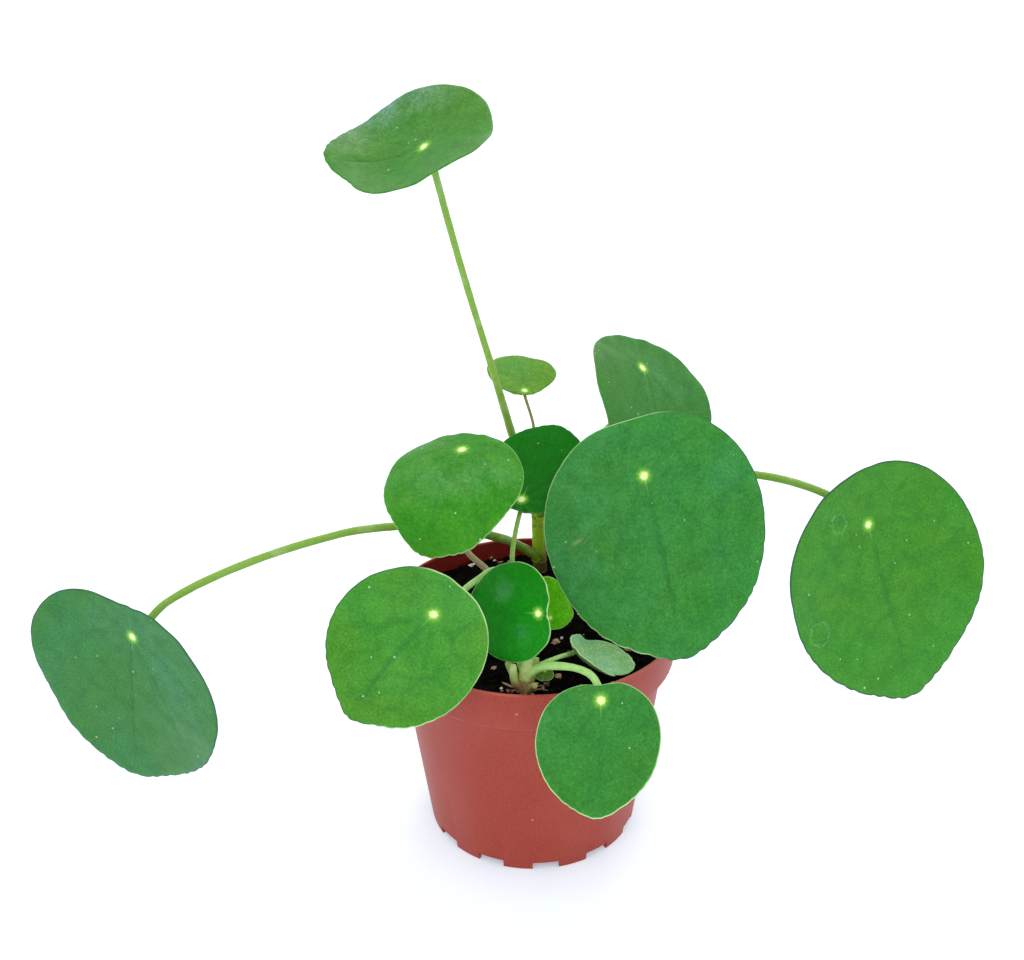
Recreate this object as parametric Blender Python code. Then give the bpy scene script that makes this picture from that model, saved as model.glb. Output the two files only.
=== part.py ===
# A pilea house plant in a round plastic nursery pot. Metres, +Z up, origin on the ground under the
# middle of the pot. Leaves and petioles are placed in millimetres from that origin.
import math

import bpy
import bmesh
from mathutils import Matrix, Vector, noise

for thing in list(bpy.data.objects):
    bpy.data.objects.remove(thing, do_unlink=True)

MM = 0.001
GAP = 0.3 * MM                      # between pieces that touch

# Pot: a 4 inch nursery pot with a flared band under its rim
RIM_RADIUS = 49.8 * MM
POT_HEIGHT = 80.0 * MM
BAND_HEIGHT = 15.0 * MM
BAND_FOOT_RADIUS = 47.7 * MM
BAND_STEP = 3.1 * MM
BASE_RADIUS = 36.0 * MM
WALL = 1.0 * MM
FLOOR = 1.2 * MM
SOLE_RADIUS = 27.0 * MM             # the flat middle that the pot stands on
CHANNEL_HEIGHT = 3.2 * MM           # raised drain channel between the sole and the wall
POT_STEPS = 72

NOTCHES = 12
NOTCH_WIDTH = 9.0 * MM
NOTCH_HEIGHT = 3.0 * MM
FIRST_NOTCH = math.radians(-83.0)
DRAINS = 6
DRAIN_RADIUS = 1.7 * MM

# Soil: its mean level under the rim, and the size of its crumbs
SOIL_LEVEL = 74.0 * MM
SOIL_MOUND = 0.9 * MM
CRUMB_SIZE = 6.0 * MM
CRUMB_RELIEF = 1.1 * MM

# Stems: foot and top of each, in millimetres, and their thickness
MAIN_FOOT, MAIN_TOP = (3.0, 36.5, 50.0), (2.0, 35.0, 116.0)
MAIN_RADIUS = 2.5 * MM
PUP_FOOT, PUP_TOP = (-2.5, -38.5, 64.5), (-1.0, -38.0, 87.0)
PUP_RADIUS = 3.1 * MM

BLADE = 1.0 * MM                    # thickness of a large blade
THIN_BLADE = 0.8 * MM

# Each leaf: the navel is where the petiole meets the blade. facing and rise aim the upper face
# (0 is the front, -Y, and positive turns to +X), turn swings the tip from straight downhill.
# navel_at is the navel's place along the blade, base to tip. The bends are in degrees over half
# the blade's length: at the tip, at the base and to the sides, positive curling up. Each lobe is
# (where round the edge from the tip, how far it spreads, how much the edge swells), in degrees.
LEAVES = [
    dict(name="top_left", navel=(-31, 15, 230), facing=-56, rise=53, turn=35, length=53, width=49.5,
         navel_at=0.425, egg=0.16, point=0.02, notch=0.02, bends=(46, -19, 21), twist=0.0, waves=18,
         stem="main", stalk=(1.55, 1.1),
         lobes=[(263, 18, -0.11), (327, 20, -0.10), (250, 39, -0.08)],
         route=[(2, 35, 108), (-2, 33, 113), (-6.5, 29, 131.5), (-11.5, 24, 153), (-20, 19, 187),
                (-25, 17, 208), (-28, 16.5, 221)]),
    dict(name="far_left", navel=(-128, -20, 82.5), facing=-28, rise=0, turn=10, length=76, width=74,
         navel_at=0.20, egg=0.25, point=0.05, notch=0.04, bends=(-3, 25, 10), twist=0.08, waves=20,
         stem="main", stalk=(1.7, 1.3),
         lobes=[(90, 35, 0.07), (167, 16, -0.19), (220, 34, -0.13)],
         route=[(2, 36, 80), (-3, 33, 85), (-10, 28, 91.5), (-31, 17, 102.5), (-47, 9, 106.5), (-63, 3, 107),
                (-93, -5, 100.5), (-118, -11, 90)]),
    dict(name="upper_left", navel=(-21, -12, 144), facing=-37, rise=79, turn=-14, length=45, width=44,
         navel_at=0.21, egg=0.23, point=0.09, notch=0.02, bends=(-35, 3, -27), twist=0.12, waves=18,
         stem="soil", stalk=(1.5, 1.0),
         lobes=[(18, 16, 0.05), (340, 20, -0.02)],
         route=[(0, 1, 68), (-0.5, 1, 75), (-3, 0.5, 81), (-7, 0, 86), (-15, -1, 96), (-21, -3, 104),
                (-24, -6, 116), (-23, -10, 133)]),
    dict(name="lower_left", navel=(-29, -45, 106), facing=2, rise=8, turn=45, length=49.5, width=48,
         navel_at=0.24, egg=0.04, point=0.12, notch=0.02, bends=(28, 2, 16), twist=-0.05, waves=18,
         stem="pup", stalk=(1.2, 1.0),
         lobes=[(185, 60, 0.06), (336, 37, 0.08), (344, 60, -0.07)],
         route=[(-2, -38.3, 79), (-4, -34, 83), (-5.5, -29, 89), (-6.8, -23.5, 95), (-7.9, -18.5, 100),
                (-10.2, -16.3, 104), (-13, -17.3, 104.6), (-16.2, -19, 103.1), (-19.3, -21, 101.7),
                (-21.5, -25, 101.8), (-24.3, -33, 103), (-27, -40, 104.8)]),
    dict(name="middle", navel=(2, -40, 103), facing=-38, rise=24, turn=73, length=32.5, width=31.5,
         navel_at=0.15, egg=0.03, point=0.05, notch=0.05, bends=(-4, 3, -23), twist=-0.03, waves=14,
         stem="pup", stalk=(1.0, 0.8),
         lobes=[(201, 13, 0.11), (177, 16, -0.11), (179, 14, -0.11)],
         route=[(-1, -38, 85), (2, -35.5, 90), (4.5, -36, 97)]),
    dict(name="inner_dark", navel=(-3, -3, 122.5), facing=-8, rise=66, turn=194, length=35, width=34,
         navel_at=0.14, egg=0.06, point=0.05, notch=0.02, bends=(6, 0, 1), twist=0.09, waves=14,
         stem="pup", stalk=(1.0, 0.75),
         lobes=[(316, 51, 0.02), (146, 45, -0.03), (169, 13, 0.10)],
         route=[(-1, -38, 82), (-1.5, -34, 86.5), (-3.5, -27, 95), (-5, -22, 103), (-6, -18, 109.5),
                (-5, -12, 115.5)]),
    dict(name="top_small", navel=(-2, 33, 145), facing=14, rise=77, turn=-173, length=25, width=24,
         navel_at=0.10, egg=0.06, point=0.05, notch=0.02, bends=(-3, -2, 16), twist=-0.04, waves=12,
         stem="main", stalk=(0.8, 0.5),
         lobes=[(142, 20, -0.20), (215, 32, -0.11)],
         route=[(2, 35, 110), (1.5, 31.5, 115), (1, 32, 132)]),
    dict(name="upper_right", navel=(37.5, 39, 150.5), facing=59, rise=48, turn=32, length=52, width=50,
         navel_at=0.26, egg=0.05, point=0.05, notch=0.02, bends=(-18, -3, 11), twist=0.0, waves=18,
         stem="main", stalk=(1.4, 1.0),
         lobes=[(233, 43, 0.04), (124, 28, 0.08), (54, 13, 0.11)],
         route=[(2, 35, 107), (6, 37.5, 110.5), (15, 41, 118), (29, 44, 129), (35, 42, 141)]),
    dict(name="large_right", navel=(35, -10, 134), facing=-23, rise=28, turn=-25, length=75.5, width=71.5,
         navel_at=0.26, egg=0.05, point=0.07, notch=0.03, bends=(11, 5, 22), twist=-0.10, waves=20,
         stem="main", stalk=(1.7, 1.3),
         lobes=[(8, 51, -0.01), (150, 13, 0.02), (151, 50, -0.02)],
         route=[(2, 35.5, 97), (6, 32.5, 101), (17, 21, 115), (28, 2, 128)]),
    dict(name="far_right", navel=(107, -5, 114), facing=27, rise=17, turn=-10, length=77, width=74.5,
         navel_at=0.25, egg=0.09, point=0.08, notch=0.01, bends=(2, 22, 13), twist=-0.09, waves=20,
         stem="main", stalk=(1.7, 1.3),
         lobes=[(116, 16, 0.06), (130, 48, -0.04), (333, 20, 0.025)],
         route=[(2, 35.5, 101), (7, 37, 103), (24, 32, 110), (49, 21, 118.5), (73, 10, 124.5),
                (94, 1, 122)]),
    dict(name="inner_small", navel=(6, -12, 84), facing=28, rise=43, turn=-165, length=18, width=17.5,
         navel_at=0.26, egg=0.06, point=0.05, notch=0.02, bends=(7, 1, -20), twist=-0.1, waves=10,
         stem="soil", stalk=(0.7, 0.6),
         lobes=[(108, 14, 0.11), (175, 38, -0.11), (73, 18, -0.11)],
         route=[(7.5, -2, 70), (7.5, -2, 75), (7.5, -5, 79.5)]),
    dict(name="front_cupped", navel=(14, -28, 82), facing=100, rise=39, turn=15, length=23.5, width=23,
         navel_at=0.16, egg=0.04, point=0.05, notch=0.02, bends=(39, 69, 37), twist=-0.1, waves=10,
         stem="pup", stalk=(0.8, 0.7),
         lobes=[(225, 53, 0.14), (47, 17, -0.19), (242, 14, -0.20)],
         route=[(-1.5, -38, 80), (3, -36.5, 82.5), (9, -33, 83)]),
    dict(name="front_low", navel=(20, -62, 87), facing=-25, rise=41, turn=-16, length=39, width=38,
         navel_at=0.16, egg=0.11, point=0.06, notch=0.06, bends=(9, -2, 14), twist=-0.06, waves=16,
         stem="pup", stalk=(1.5, 1.1),
         lobes=[(169, 18, -0.11), (75, 60, 0.02), (230, 51, -0.05)],
         route=[(-1.5, -38.5, 80), (2.4, -40, 83.6), (6.3, -42.5, 85.9), (11.4, -46, 87.8),
                (15, -49.5, 89), (17.7, -53, 89.3), (19.3, -56.3, 88.2)]),
    dict(name="crown_small", navel=(4, -35, 79), facing=5, rise=48, turn=18, length=6.6, width=6.4,
         navel_at=0.39, egg=0.07, point=0.05, notch=0.02, bends=(4, 4, 4), twist=0.0, waves=6,
         stem="pup", stalk=(0.5, 0.45),
         lobes=[(348, 39, -0.20), (241, 21, -0.20), (148, 60, 0.20)],
         route=[(-1.5, -38.3, 76.8), (2.5, -34.6, 76.9)]),
]

LARGE_LEAF = 40.0                   # from this length on a blade is thick and waved
COLOURS = {
    "pot": (0.37, 0.072, 0.055), "soil": (0.012, 0.010, 0.008),
    "main_stem": (0.16, 0.13, 0.035), "pup_stem": (0.33, 0.36, 0.10),
    "petiole": (0.28, 0.50, 0.08), "blade": (0.045, 0.23, 0.035),
}


# Small helpers

def material(name, colour, roughness):
    made = bpy.data.materials.new(name)
    made.use_nodes = True
    shader = made.node_tree.nodes["Principled BSDF"]
    shader.inputs["Base Color"].default_value = (*colour, 1.0)
    shader.inputs["Roughness"].default_value = roughness
    shader.inputs["Metallic"].default_value = 0.0
    return made


def finished(name, mesh_data, colour, roughness):
    part = bpy.data.objects.new(name, mesh_data)
    bpy.context.scene.collection.objects.link(part)
    part.data.materials.append(material(name, colour, roughness))
    return part


def to_mesh(name, grid):
    made = bpy.data.meshes.new(name)
    grid.to_mesh(made)
    grid.free()
    return made


def skin_rings(grid, rings):
    # Joins each ring of points to the next one, splitting every face the same way
    for lower, upper in zip(rings, rings[1:]):
        for i in range(len(lower)):
            j = (i + 1) % len(lower)
            grid.faces.new((lower[i], lower[j], upper[j]))
            grid.faces.new((lower[i], upper[j], upper[i]))


def cap(grid, ring, centre, outward):
    tip = grid.verts.new(centre)
    for i in range(len(ring)):
        j = (i + 1) % len(ring)
        corners = (ring[i], ring[j], tip) if outward else (ring[j], ring[i], tip)
        grid.faces.new(corners)


def turned(name, profile, steps):
    # Turns a closed outline of (radius, height) points round the Z axis
    grid = bmesh.new()
    points = [grid.verts.new((radius, 0.0, height)) for radius, height in profile]
    edges = [grid.edges.new(pair) for pair in zip(points, points[1:])]
    bmesh.ops.spin(grid, geom=points + edges, axis=(0, 0, 1), cent=(0, 0, 0),
                   angle=math.tau, steps=steps, use_merge=True)
    bmesh.ops.remove_doubles(grid, verts=grid.verts, dist=0.00001)
    bmesh.ops.dissolve_degenerate(grid, edges=grid.edges, dist=0.00001)
    bmesh.ops.recalc_face_normals(grid, faces=grid.faces)
    return to_mesh(name, grid)


def cutter_cylinder(radius, foot, top, sides):
    grid = bmesh.new()
    bmesh.ops.create_cone(grid, cap_ends=True, segments=sides, radius1=radius, radius2=radius,
                          depth=top - foot)
    return grid


def cut(part, name, cutters):
    # Removes the cutters, each a bmesh with its place, from the part
    body = bmesh.new()
    for grid, place in cutters:
        bmesh.ops.transform(grid, matrix=place, verts=grid.verts)
        piece = bpy.data.meshes.new(name)
        grid.to_mesh(piece)
        grid.free()
        body.from_mesh(piece)
        bpy.data.meshes.remove(piece)
    guide = bpy.data.objects.new(name, to_mesh(name, body))
    bpy.context.scene.collection.objects.link(guide)
    guide.hide_render = True
    guide.display_type = 'WIRE'
    step = part.modifiers.new(name, 'BOOLEAN')
    step.operation = 'DIFFERENCE'
    step.solver = 'EXACT'
    step.object = guide


# Pot

BAND_FOOT = POT_HEIGHT - BAND_HEIGHT
LEDGE_SLOPE = 0.5 * MM              # the step at the band's foot falls by this much


def wall_radius(height):
    # Outside of the plain wall, below the band
    return BASE_RADIUS + (BAND_FOOT_RADIUS - BAND_STEP - BASE_RADIUS) * height / BAND_FOOT


def inner_radius(height):
    if height <= BAND_FOOT + WALL:
        return wall_radius(height) - WALL
    share = (height - BAND_FOOT) / BAND_HEIGHT
    return BAND_FOOT_RADIUS - WALL + (RIM_RADIUS - BAND_FOOT_RADIUS) * share


def make_pot():
    lip = 0.5 * MM
    ledge = BAND_FOOT + WALL
    profile = [
        (0.0, 0.0),
        (SOLE_RADIUS, 0.0),
        (SOLE_RADIUS + 0.8 * MM, CHANNEL_HEIGHT),
        (BASE_RADIUS - 1.6 * MM, CHANNEL_HEIGHT),
        (BASE_RADIUS - 1.4 * MM, 0.0),
        (BASE_RADIUS, 0.0),
        (wall_radius(BAND_FOOT), BAND_FOOT),
        (BAND_FOOT_RADIUS, BAND_FOOT + LEDGE_SLOPE),
        (RIM_RADIUS, POT_HEIGHT - lip),
        (RIM_RADIUS - 0.4 * MM, POT_HEIGHT),
        (inner_radius(POT_HEIGHT) + 0.2 * MM, POT_HEIGHT),
        (inner_radius(ledge + LEDGE_SLOPE), ledge + LEDGE_SLOPE),
        (inner_radius(ledge), ledge),
        (inner_radius(CHANNEL_HEIGHT + FLOOR), CHANNEL_HEIGHT + FLOOR),
        (SOLE_RADIUS - 0.6 * MM, CHANNEL_HEIGHT + FLOOR),
        (SOLE_RADIUS - 1.2 * MM, FLOOR),
        (0.0, FLOOR),
    ]
    pot = finished("pot", turned("pot", profile, POT_STEPS), COLOURS["pot"], 0.5)

    notches = []
    for k in range(NOTCHES):
        grid = bmesh.new()
        bmesh.ops.create_cube(grid, size=1.0)
        angle = FIRST_NOTCH + math.tau * k / NOTCHES
        size = Matrix.Diagonal((4.0 * MM, NOTCH_WIDTH, 2.0 * NOTCH_HEIGHT, 1.0))
        reach = Matrix.Translation((BASE_RADIUS, 0.0, 0.0))
        notches.append((grid, Matrix.Rotation(angle, 4, 'Z') @ reach @ size))
    cut(pot, "cut_notches", notches)

    drains = []
    middle = 0.5 * (SOLE_RADIUS + BASE_RADIUS) - 0.3 * MM
    for k in range(DRAINS):
        grid = cutter_cylinder(DRAIN_RADIUS, 0.0, 4.0 * FLOOR, 10)
        angle = FIRST_NOTCH + math.tau * k / DRAINS
        place = (middle * math.cos(angle), middle * math.sin(angle), CHANNEL_HEIGHT + 0.5 * FLOOR)
        drains.append((grid, Matrix.Translation(place)))
    cut(pot, "cut_drains", drains)


# Stems

def along(foot, top, height):
    # Point of a stem's axis at a height, in metres; below the soil the stem is upright
    foot, top = Vector(foot) * MM, Vector(top) * MM
    start = SOIL_LEVEL + 1.0 * MM
    share = min(1.0, max(0.0, (height - start) / (top.z - start)))
    return Vector((foot.x + (top.x - foot.x) * share, foot.y + (top.y - foot.y) * share, height))


def main_radius(height):
    # Old leaf scars ring the stem, closer together towards its tip
    share = (height - SOIL_LEVEL) / (MAIN_TOP[2] * MM - SOIL_LEVEL)
    scars = 0.22 * MM * max(0.0, math.sin(40.0 * max(share, 0.0) ** 1.3))
    return MAIN_RADIUS + 0.35 * MM * max(0.0, 0.5 - share) + scars


def pup_radius(height):
    share = (height * 1000.0 - PUP_FOOT[2]) / (PUP_TOP[2] - PUP_FOOT[2])
    return PUP_RADIUS * (0.72 + 0.36 * math.sin(math.pi * min(1.0, share * 0.95)))


STEMS = {
    "main": (MAIN_FOOT, MAIN_TOP, main_radius),
    "pup": (PUP_FOOT, PUP_TOP, pup_radius),
}


def make_stem(name, stem, sides, steps, colour):
    foot, top, radius_at = STEMS[stem]
    grid = bmesh.new()
    low, high = foot[2] * MM, top[2] * MM
    rings = []
    for k in range(steps + 1):
        height = low + (high - low) * k / steps
        centre = along(foot, top, height)
        radius = radius_at(height)
        ring = []
        for i in range(sides):
            angle = math.tau * i / sides
            uneven = 1.0 + 0.04 * math.sin(3.0 * angle + 260.0 * height)
            reach = radius * uneven
            ring.append(grid.verts.new(centre + Vector((math.cos(angle), math.sin(angle), 0.0)) * reach))
        rings.append(ring)
    # the growing tip closes in a blunt bud
    for shrink, lift in ((0.8, 0.9 * MM), (0.45, 1.8 * MM)):
        centre = along(foot, top, high) + Vector((0.0, 0.0, lift))
        rings.append([grid.verts.new(centre + (v.co - along(foot, top, high)) * shrink)
                      for v in rings[steps]])
    skin_rings(grid, rings)
    cap(grid, rings[0], along(foot, top, low), outward=False)
    cap(grid, rings[-1], along(foot, top, high) + Vector((0.0, 0.0, 2.2 * MM)), outward=True)
    return finished(name, to_mesh(name, grid), colour, 0.6)


# Leaves

def outline(leaf, angle):
    # Point of the blade's edge, as (across, towards the tip) from the navel; angle 0 is the tip
    length, width = leaf["length"] * MM, leaf["width"] * MM
    off_tip = abs((angle + math.pi) % math.tau - math.pi)
    across = 0.5 * width * math.sin(angle) * (1.0 - leaf["egg"] * math.cos(angle))
    point = leaf["point"] * math.exp(-(off_tip / 0.30) ** 2)
    notch = leaf["notch"] * math.exp(-((math.pi - off_tip) / 0.22) ** 2)
    towards = 0.5 * length * (math.cos(angle) + point + notch + 1.0) - leaf["navel_at"] * length
    swell = 1.0
    for where, spread, amount in leaf["lobes"]:
        off = (angle - math.radians(where) + math.pi) % math.tau - math.pi
        swell *= 1.0 + amount * math.exp(-(off / math.radians(spread)) ** 2)
    return across * swell, towards * swell


def bent(distance, curl):
    # Where a point lands, and how high, when a strip is rolled with that curl per metre
    if abs(curl) < 1e-6:
        return distance, 0.0
    return math.sin(curl * distance) / curl, (1.0 - math.cos(curl * distance)) / curl


def surface(leaf, across, towards):
    half = 0.5 * leaf["length"] * MM
    tip, base, side = (math.radians(bend) / half for bend in leaf["bends"])
    along_v, lift_v = bent(towards, tip if towards > 0.0 else base)
    along_u, lift_u = bent(across, side)
    wave = 0.0
    if leaf["length"] >= LARGE_LEAF:
        angle = math.atan2(across, towards)
        wave = 0.5 * MM * (math.hypot(across, towards) / half) ** 3 * math.sin(5.0 * angle)
    lift = lift_v + lift_u + leaf["twist"] * across * towards / half + wave
    return Vector((along_u, along_v, lift))


def leaf_axes(leaf):
    facing, rise, turn = (math.radians(leaf[key]) for key in ("facing", "rise", "turn"))
    face = Vector((math.sin(facing) * math.cos(rise), -math.cos(facing) * math.cos(rise), math.sin(rise)))
    downhill = Vector((0.0, 0.0, -1.0)) + face * face.z
    downhill = downhill.normalized()
    tip = downhill * math.cos(turn) + downhill.cross(face) * math.sin(turn)
    return tip.cross(face), tip, face


def make_blade(leaf):
    large = leaf["length"] >= LARGE_LEAF
    thick = BLADE if large else THIN_BLADE
    sides = 2 * leaf["waves"]
    rings = (0.45, 0.8, 1.0) if leaf["length"] > 10.0 else (0.6, 1.0)
    across_axis, tip_axis, face_axis = leaf_axes(leaf)
    place = Matrix((across_axis, tip_axis, face_axis)).transposed().to_4x4()
    place.translation = Vector(leaf["navel"]) * MM

    def sheet_point(across, towards, offset):
        small = 0.2 * MM
        here = surface(leaf, across, towards)
        step_u = surface(leaf, across + small, towards) - here
        step_v = surface(leaf, across, towards + small) - here
        normal = step_u.cross(step_v).normalized()
        return place @ (here + normal * offset)

    grid = bmesh.new()
    faces = {}
    for offset in (0.5 * thick, -0.5 * thick):
        middle = grid.verts.new(sheet_point(0.0, 0.0, offset))
        sheet = []
        for share in rings:
            ring = []
            for i in range(sides):
                angle = math.tau * i / sides
                across, towards = outline(leaf, angle)
                crenate = 1.0
                if share == 1.0:
                    crenate += (0.010 if large else 0.006) * (-1) ** i * max(0.0, math.cos(angle) + 0.4)
                ring.append(grid.verts.new(sheet_point(across * share * crenate,
                                                       towards * share * crenate, offset)))
            sheet.append(ring)
        faces[offset > 0.0] = (middle, sheet)
    for upper, (middle, sheet) in faces.items():
        for i in range(sides):
            j = (i + 1) % sides
            corners = (middle, sheet[0][i], sheet[0][j])
            grid.faces.new(corners if not upper else corners[::-1])
            for inner, outer in zip(sheet, sheet[1:]):
                for corners in ((inner[i], outer[i], outer[j]), (inner[i], outer[j], inner[j])):
                    grid.faces.new(corners if not upper else corners[::-1])
    over, under = faces[True][1][-1], faces[False][1][-1]
    skin_rings(grid, [over, under])
    bmesh.ops.recalc_face_normals(grid, faces=grid.faces)
    return finished("leaf_" + leaf["name"], to_mesh("leaf_" + leaf["name"], grid), COLOURS["blade"], 0.35)


def smooth_path(points, step):
    # Samples a curve that passes through every point
    path = [points[0]]
    ends = [points[0] * 2.0 - points[1]] + list(points) + [points[-1] * 2.0 - points[-2]]
    for before, start, stop, after in zip(ends, ends[1:], ends[2:], ends[3:]):
        count = max(1, round((stop - start).length / step))
        for k in range(1, count + 1):
            t = k / count
            path.append(0.5 * (2.0 * start + (stop - before) * t
                               + (2.0 * before - 5.0 * start + 4.0 * stop - after) * t * t
                               + (3.0 * start - before - 3.0 * stop + after) * t ** 3))
    return path


def clear_of_stem(stem, point, direction, radius):
    # Whether a petiole's cut end at this point stands clear of the stem's surface
    foot, top, radius_at = STEMS[stem]
    if point.z > top[2] * MM + 2.5 * MM:
        return True
    out = point - along(foot, top, point.z)
    slant = math.sqrt(max(0.0, 1.0 - direction.dot(out.normalized()) ** 2)) if out.length > 0.0 else 1.0
    return out.length > radius_at(point.z) * 1.04 + GAP + radius * slant


def make_petiole(leaf):
    foot_radius, tip_radius = (value * MM for value in leaf["stalk"])
    face_axis = leaf_axes(leaf)[2]
    navel = Vector(leaf["navel"]) * MM
    thick = BLADE if leaf["length"] >= LARGE_LEAF else THIN_BLADE
    route = [Vector(p) * MM for p in leaf["route"]]
    arriving = (navel - route[-1]).normalized()
    for attempt in range(3):
        # the slanting end face stops a gap short of the blade's underside
        slant = math.sqrt(max(0.0, 1.0 - arriving.dot(face_axis) ** 2))
        end = navel - face_axis * (0.5 * thick + GAP + tip_radius * slant)
        fine = smooth_path(route + [end], 0.4 * MM)
        arriving = (fine[-1] - fine[-2]).normalized()
    if leaf["stem"] in STEMS:
        start = 0
        while not clear_of_stem(leaf["stem"], fine[start], (fine[start + 1] - fine[start]).normalized(),
                                foot_radius):
            start += 1
        fine = fine[start:]
    length = sum((b - a).length for a, b in zip(fine, fine[1:]))
    count = max(4, min(14, round(length / (5.0 * MM))))
    path = [fine[round(k * (len(fine) - 1) / count)] for k in range(count + 1)]

    curve = bpy.data.curves.new("petiole_" + leaf["name"], 'CURVE')
    curve.dimensions = '3D'
    curve.bevel_depth = 1.0
    curve.bevel_resolution = 1
    curve.use_fill_caps = True
    spline = curve.splines.new('POLY')
    spline.points.add(len(path) - 1)
    for k, (control, point) in enumerate(zip(spline.points, path)):
        control.co = (*point, 1.0)
        control.radius = foot_radius + (tip_radius - foot_radius) * min(1.0, 2.0 * k / count)
    return finished("petiole_" + leaf["name"], curve, COLOURS["petiole"], 0.45)


# Soil

def soil_height(x, y):
    spot = Vector((x, y, 0.0)) / CRUMB_SIZE
    crumbs = noise.fractal(spot, 0.9, 2.1, 2, noise_basis='PERLIN_ORIGINAL')
    calm = 1.0
    for stem in STEMS.values():
        foot = Vector(stem[0]) * MM
        apart = math.hypot(x - foot.x, y - foot.y)
        calm = min(calm, max(0.25, (apart - 3.0 * MM) / (7.0 * MM)))
    mound = 1.0 - (x * x + y * y) / inner_radius(SOIL_LEVEL) ** 2
    return SOIL_LEVEL + SOIL_MOUND * (mound - 0.5) + CRUMB_RELIEF * calm * max(-1.0, min(1.0, crumbs))


def make_soil():
    sides, rings_across = 40, 11
    edge = inner_radius(SOIL_LEVEL) - GAP
    ledge = BAND_FOOT + WALL
    grid = bmesh.new()
    walls = [
        (SOLE_RADIUS - 1.6 * MM, FLOOR + GAP),
        (SOLE_RADIUS - 1.0 * MM, CHANNEL_HEIGHT + FLOOR + GAP),
        (inner_radius(CHANNEL_HEIGHT + FLOOR) - GAP, CHANNEL_HEIGHT + FLOOR + GAP),
        (inner_radius(ledge) - GAP, ledge + GAP),
        (inner_radius(ledge + LEDGE_SLOPE) - 2.0 * GAP, ledge + LEDGE_SLOPE + 1.5 * GAP),
    ]
    fit = math.cos(math.pi / POT_STEPS)          # the pot's inside is a polygon
    rings = []
    for radius, height in walls:
        rings.append([grid.verts.new((radius * fit * math.cos(math.tau * i / sides),
                                      radius * fit * math.sin(math.tau * i / sides), height))
                      for i in range(sides)])
    for k in range(rings_across):
        radius = edge * fit * (1.0 - k / rings_across)
        ring = []
        for i in range(sides):
            angle = math.tau * (i + 0.5 * (k % 2)) / sides if k else math.tau * i / sides
            x, y = radius * math.cos(angle), radius * math.sin(angle)
            ring.append(grid.verts.new((x, y, soil_height(x, y))))
        rings.append(ring)
    skin_rings(grid, rings)
    cap(grid, rings[0], (0.0, 0.0, FLOOR + GAP), outward=False)
    cap(grid, rings[-1], (0.0, 0.0, soil_height(0.0, 0.0)), outward=True)
    bmesh.ops.recalc_face_normals(grid, faces=grid.faces)
    soil = finished("soil", to_mesh("soil", grid), COLOURS["soil"], 0.95)

    holes = []
    for (x, y, foot), radius in ((MAIN_FOOT, main_radius(SOIL_LEVEL)), (PUP_FOOT, pup_radius(SOIL_LEVEL))):
        holes.append((x, y, foot, radius * 1.06 + GAP))
    for leaf in LEAVES:
        if leaf["stem"] == "soil":
            x, y, foot = leaf["route"][0]
            holes.append((x, y, foot, leaf["stalk"][0] * MM + 2.0 * GAP))
    cutters = []
    for x, y, foot, radius in holes:
        low, high = foot * MM - GAP, POT_HEIGHT
        grid = cutter_cylinder(radius, low, high, 14)
        cutters.append((grid, Matrix.Translation((x * MM, y * MM, 0.5 * (low + high)))))
    cut(soil, "cut_stem_holes", cutters)


make_pot()
make_soil()
make_stem("main_stem", "main", 12, 26, COLOURS["main_stem"])
make_stem("pup_stem", "pup", 12, 9, COLOURS["pup_stem"])
for leaf_spec in LEAVES:
    make_petiole(leaf_spec)
    make_blade(leaf_spec)
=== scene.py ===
# The looks of a potted pilea: round leaves on long thin stalks, a short trunk, a young side shoot,
# potting soil and a moulded plastic nursery pot.
import math
import random

import bmesh
import bpy
from mathutils import Matrix, Vector, noise


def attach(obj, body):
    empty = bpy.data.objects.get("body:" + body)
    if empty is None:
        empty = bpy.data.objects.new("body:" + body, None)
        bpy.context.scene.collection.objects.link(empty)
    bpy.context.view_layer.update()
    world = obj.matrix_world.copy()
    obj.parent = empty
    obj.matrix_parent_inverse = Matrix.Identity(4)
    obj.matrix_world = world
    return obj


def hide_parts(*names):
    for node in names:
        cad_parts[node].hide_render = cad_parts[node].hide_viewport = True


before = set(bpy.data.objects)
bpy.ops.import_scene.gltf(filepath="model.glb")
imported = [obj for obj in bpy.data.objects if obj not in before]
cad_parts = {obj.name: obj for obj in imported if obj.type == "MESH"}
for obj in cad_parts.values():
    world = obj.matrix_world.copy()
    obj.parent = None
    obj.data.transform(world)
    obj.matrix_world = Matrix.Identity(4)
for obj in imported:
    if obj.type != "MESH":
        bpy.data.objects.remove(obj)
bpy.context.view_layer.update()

mm = 0.001


# Node trees, for materials and geometry alike

def sign(operation):
    # the method behind an arithmetic sign
    return lambda self, *others: self.math(operation, *others)


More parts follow.
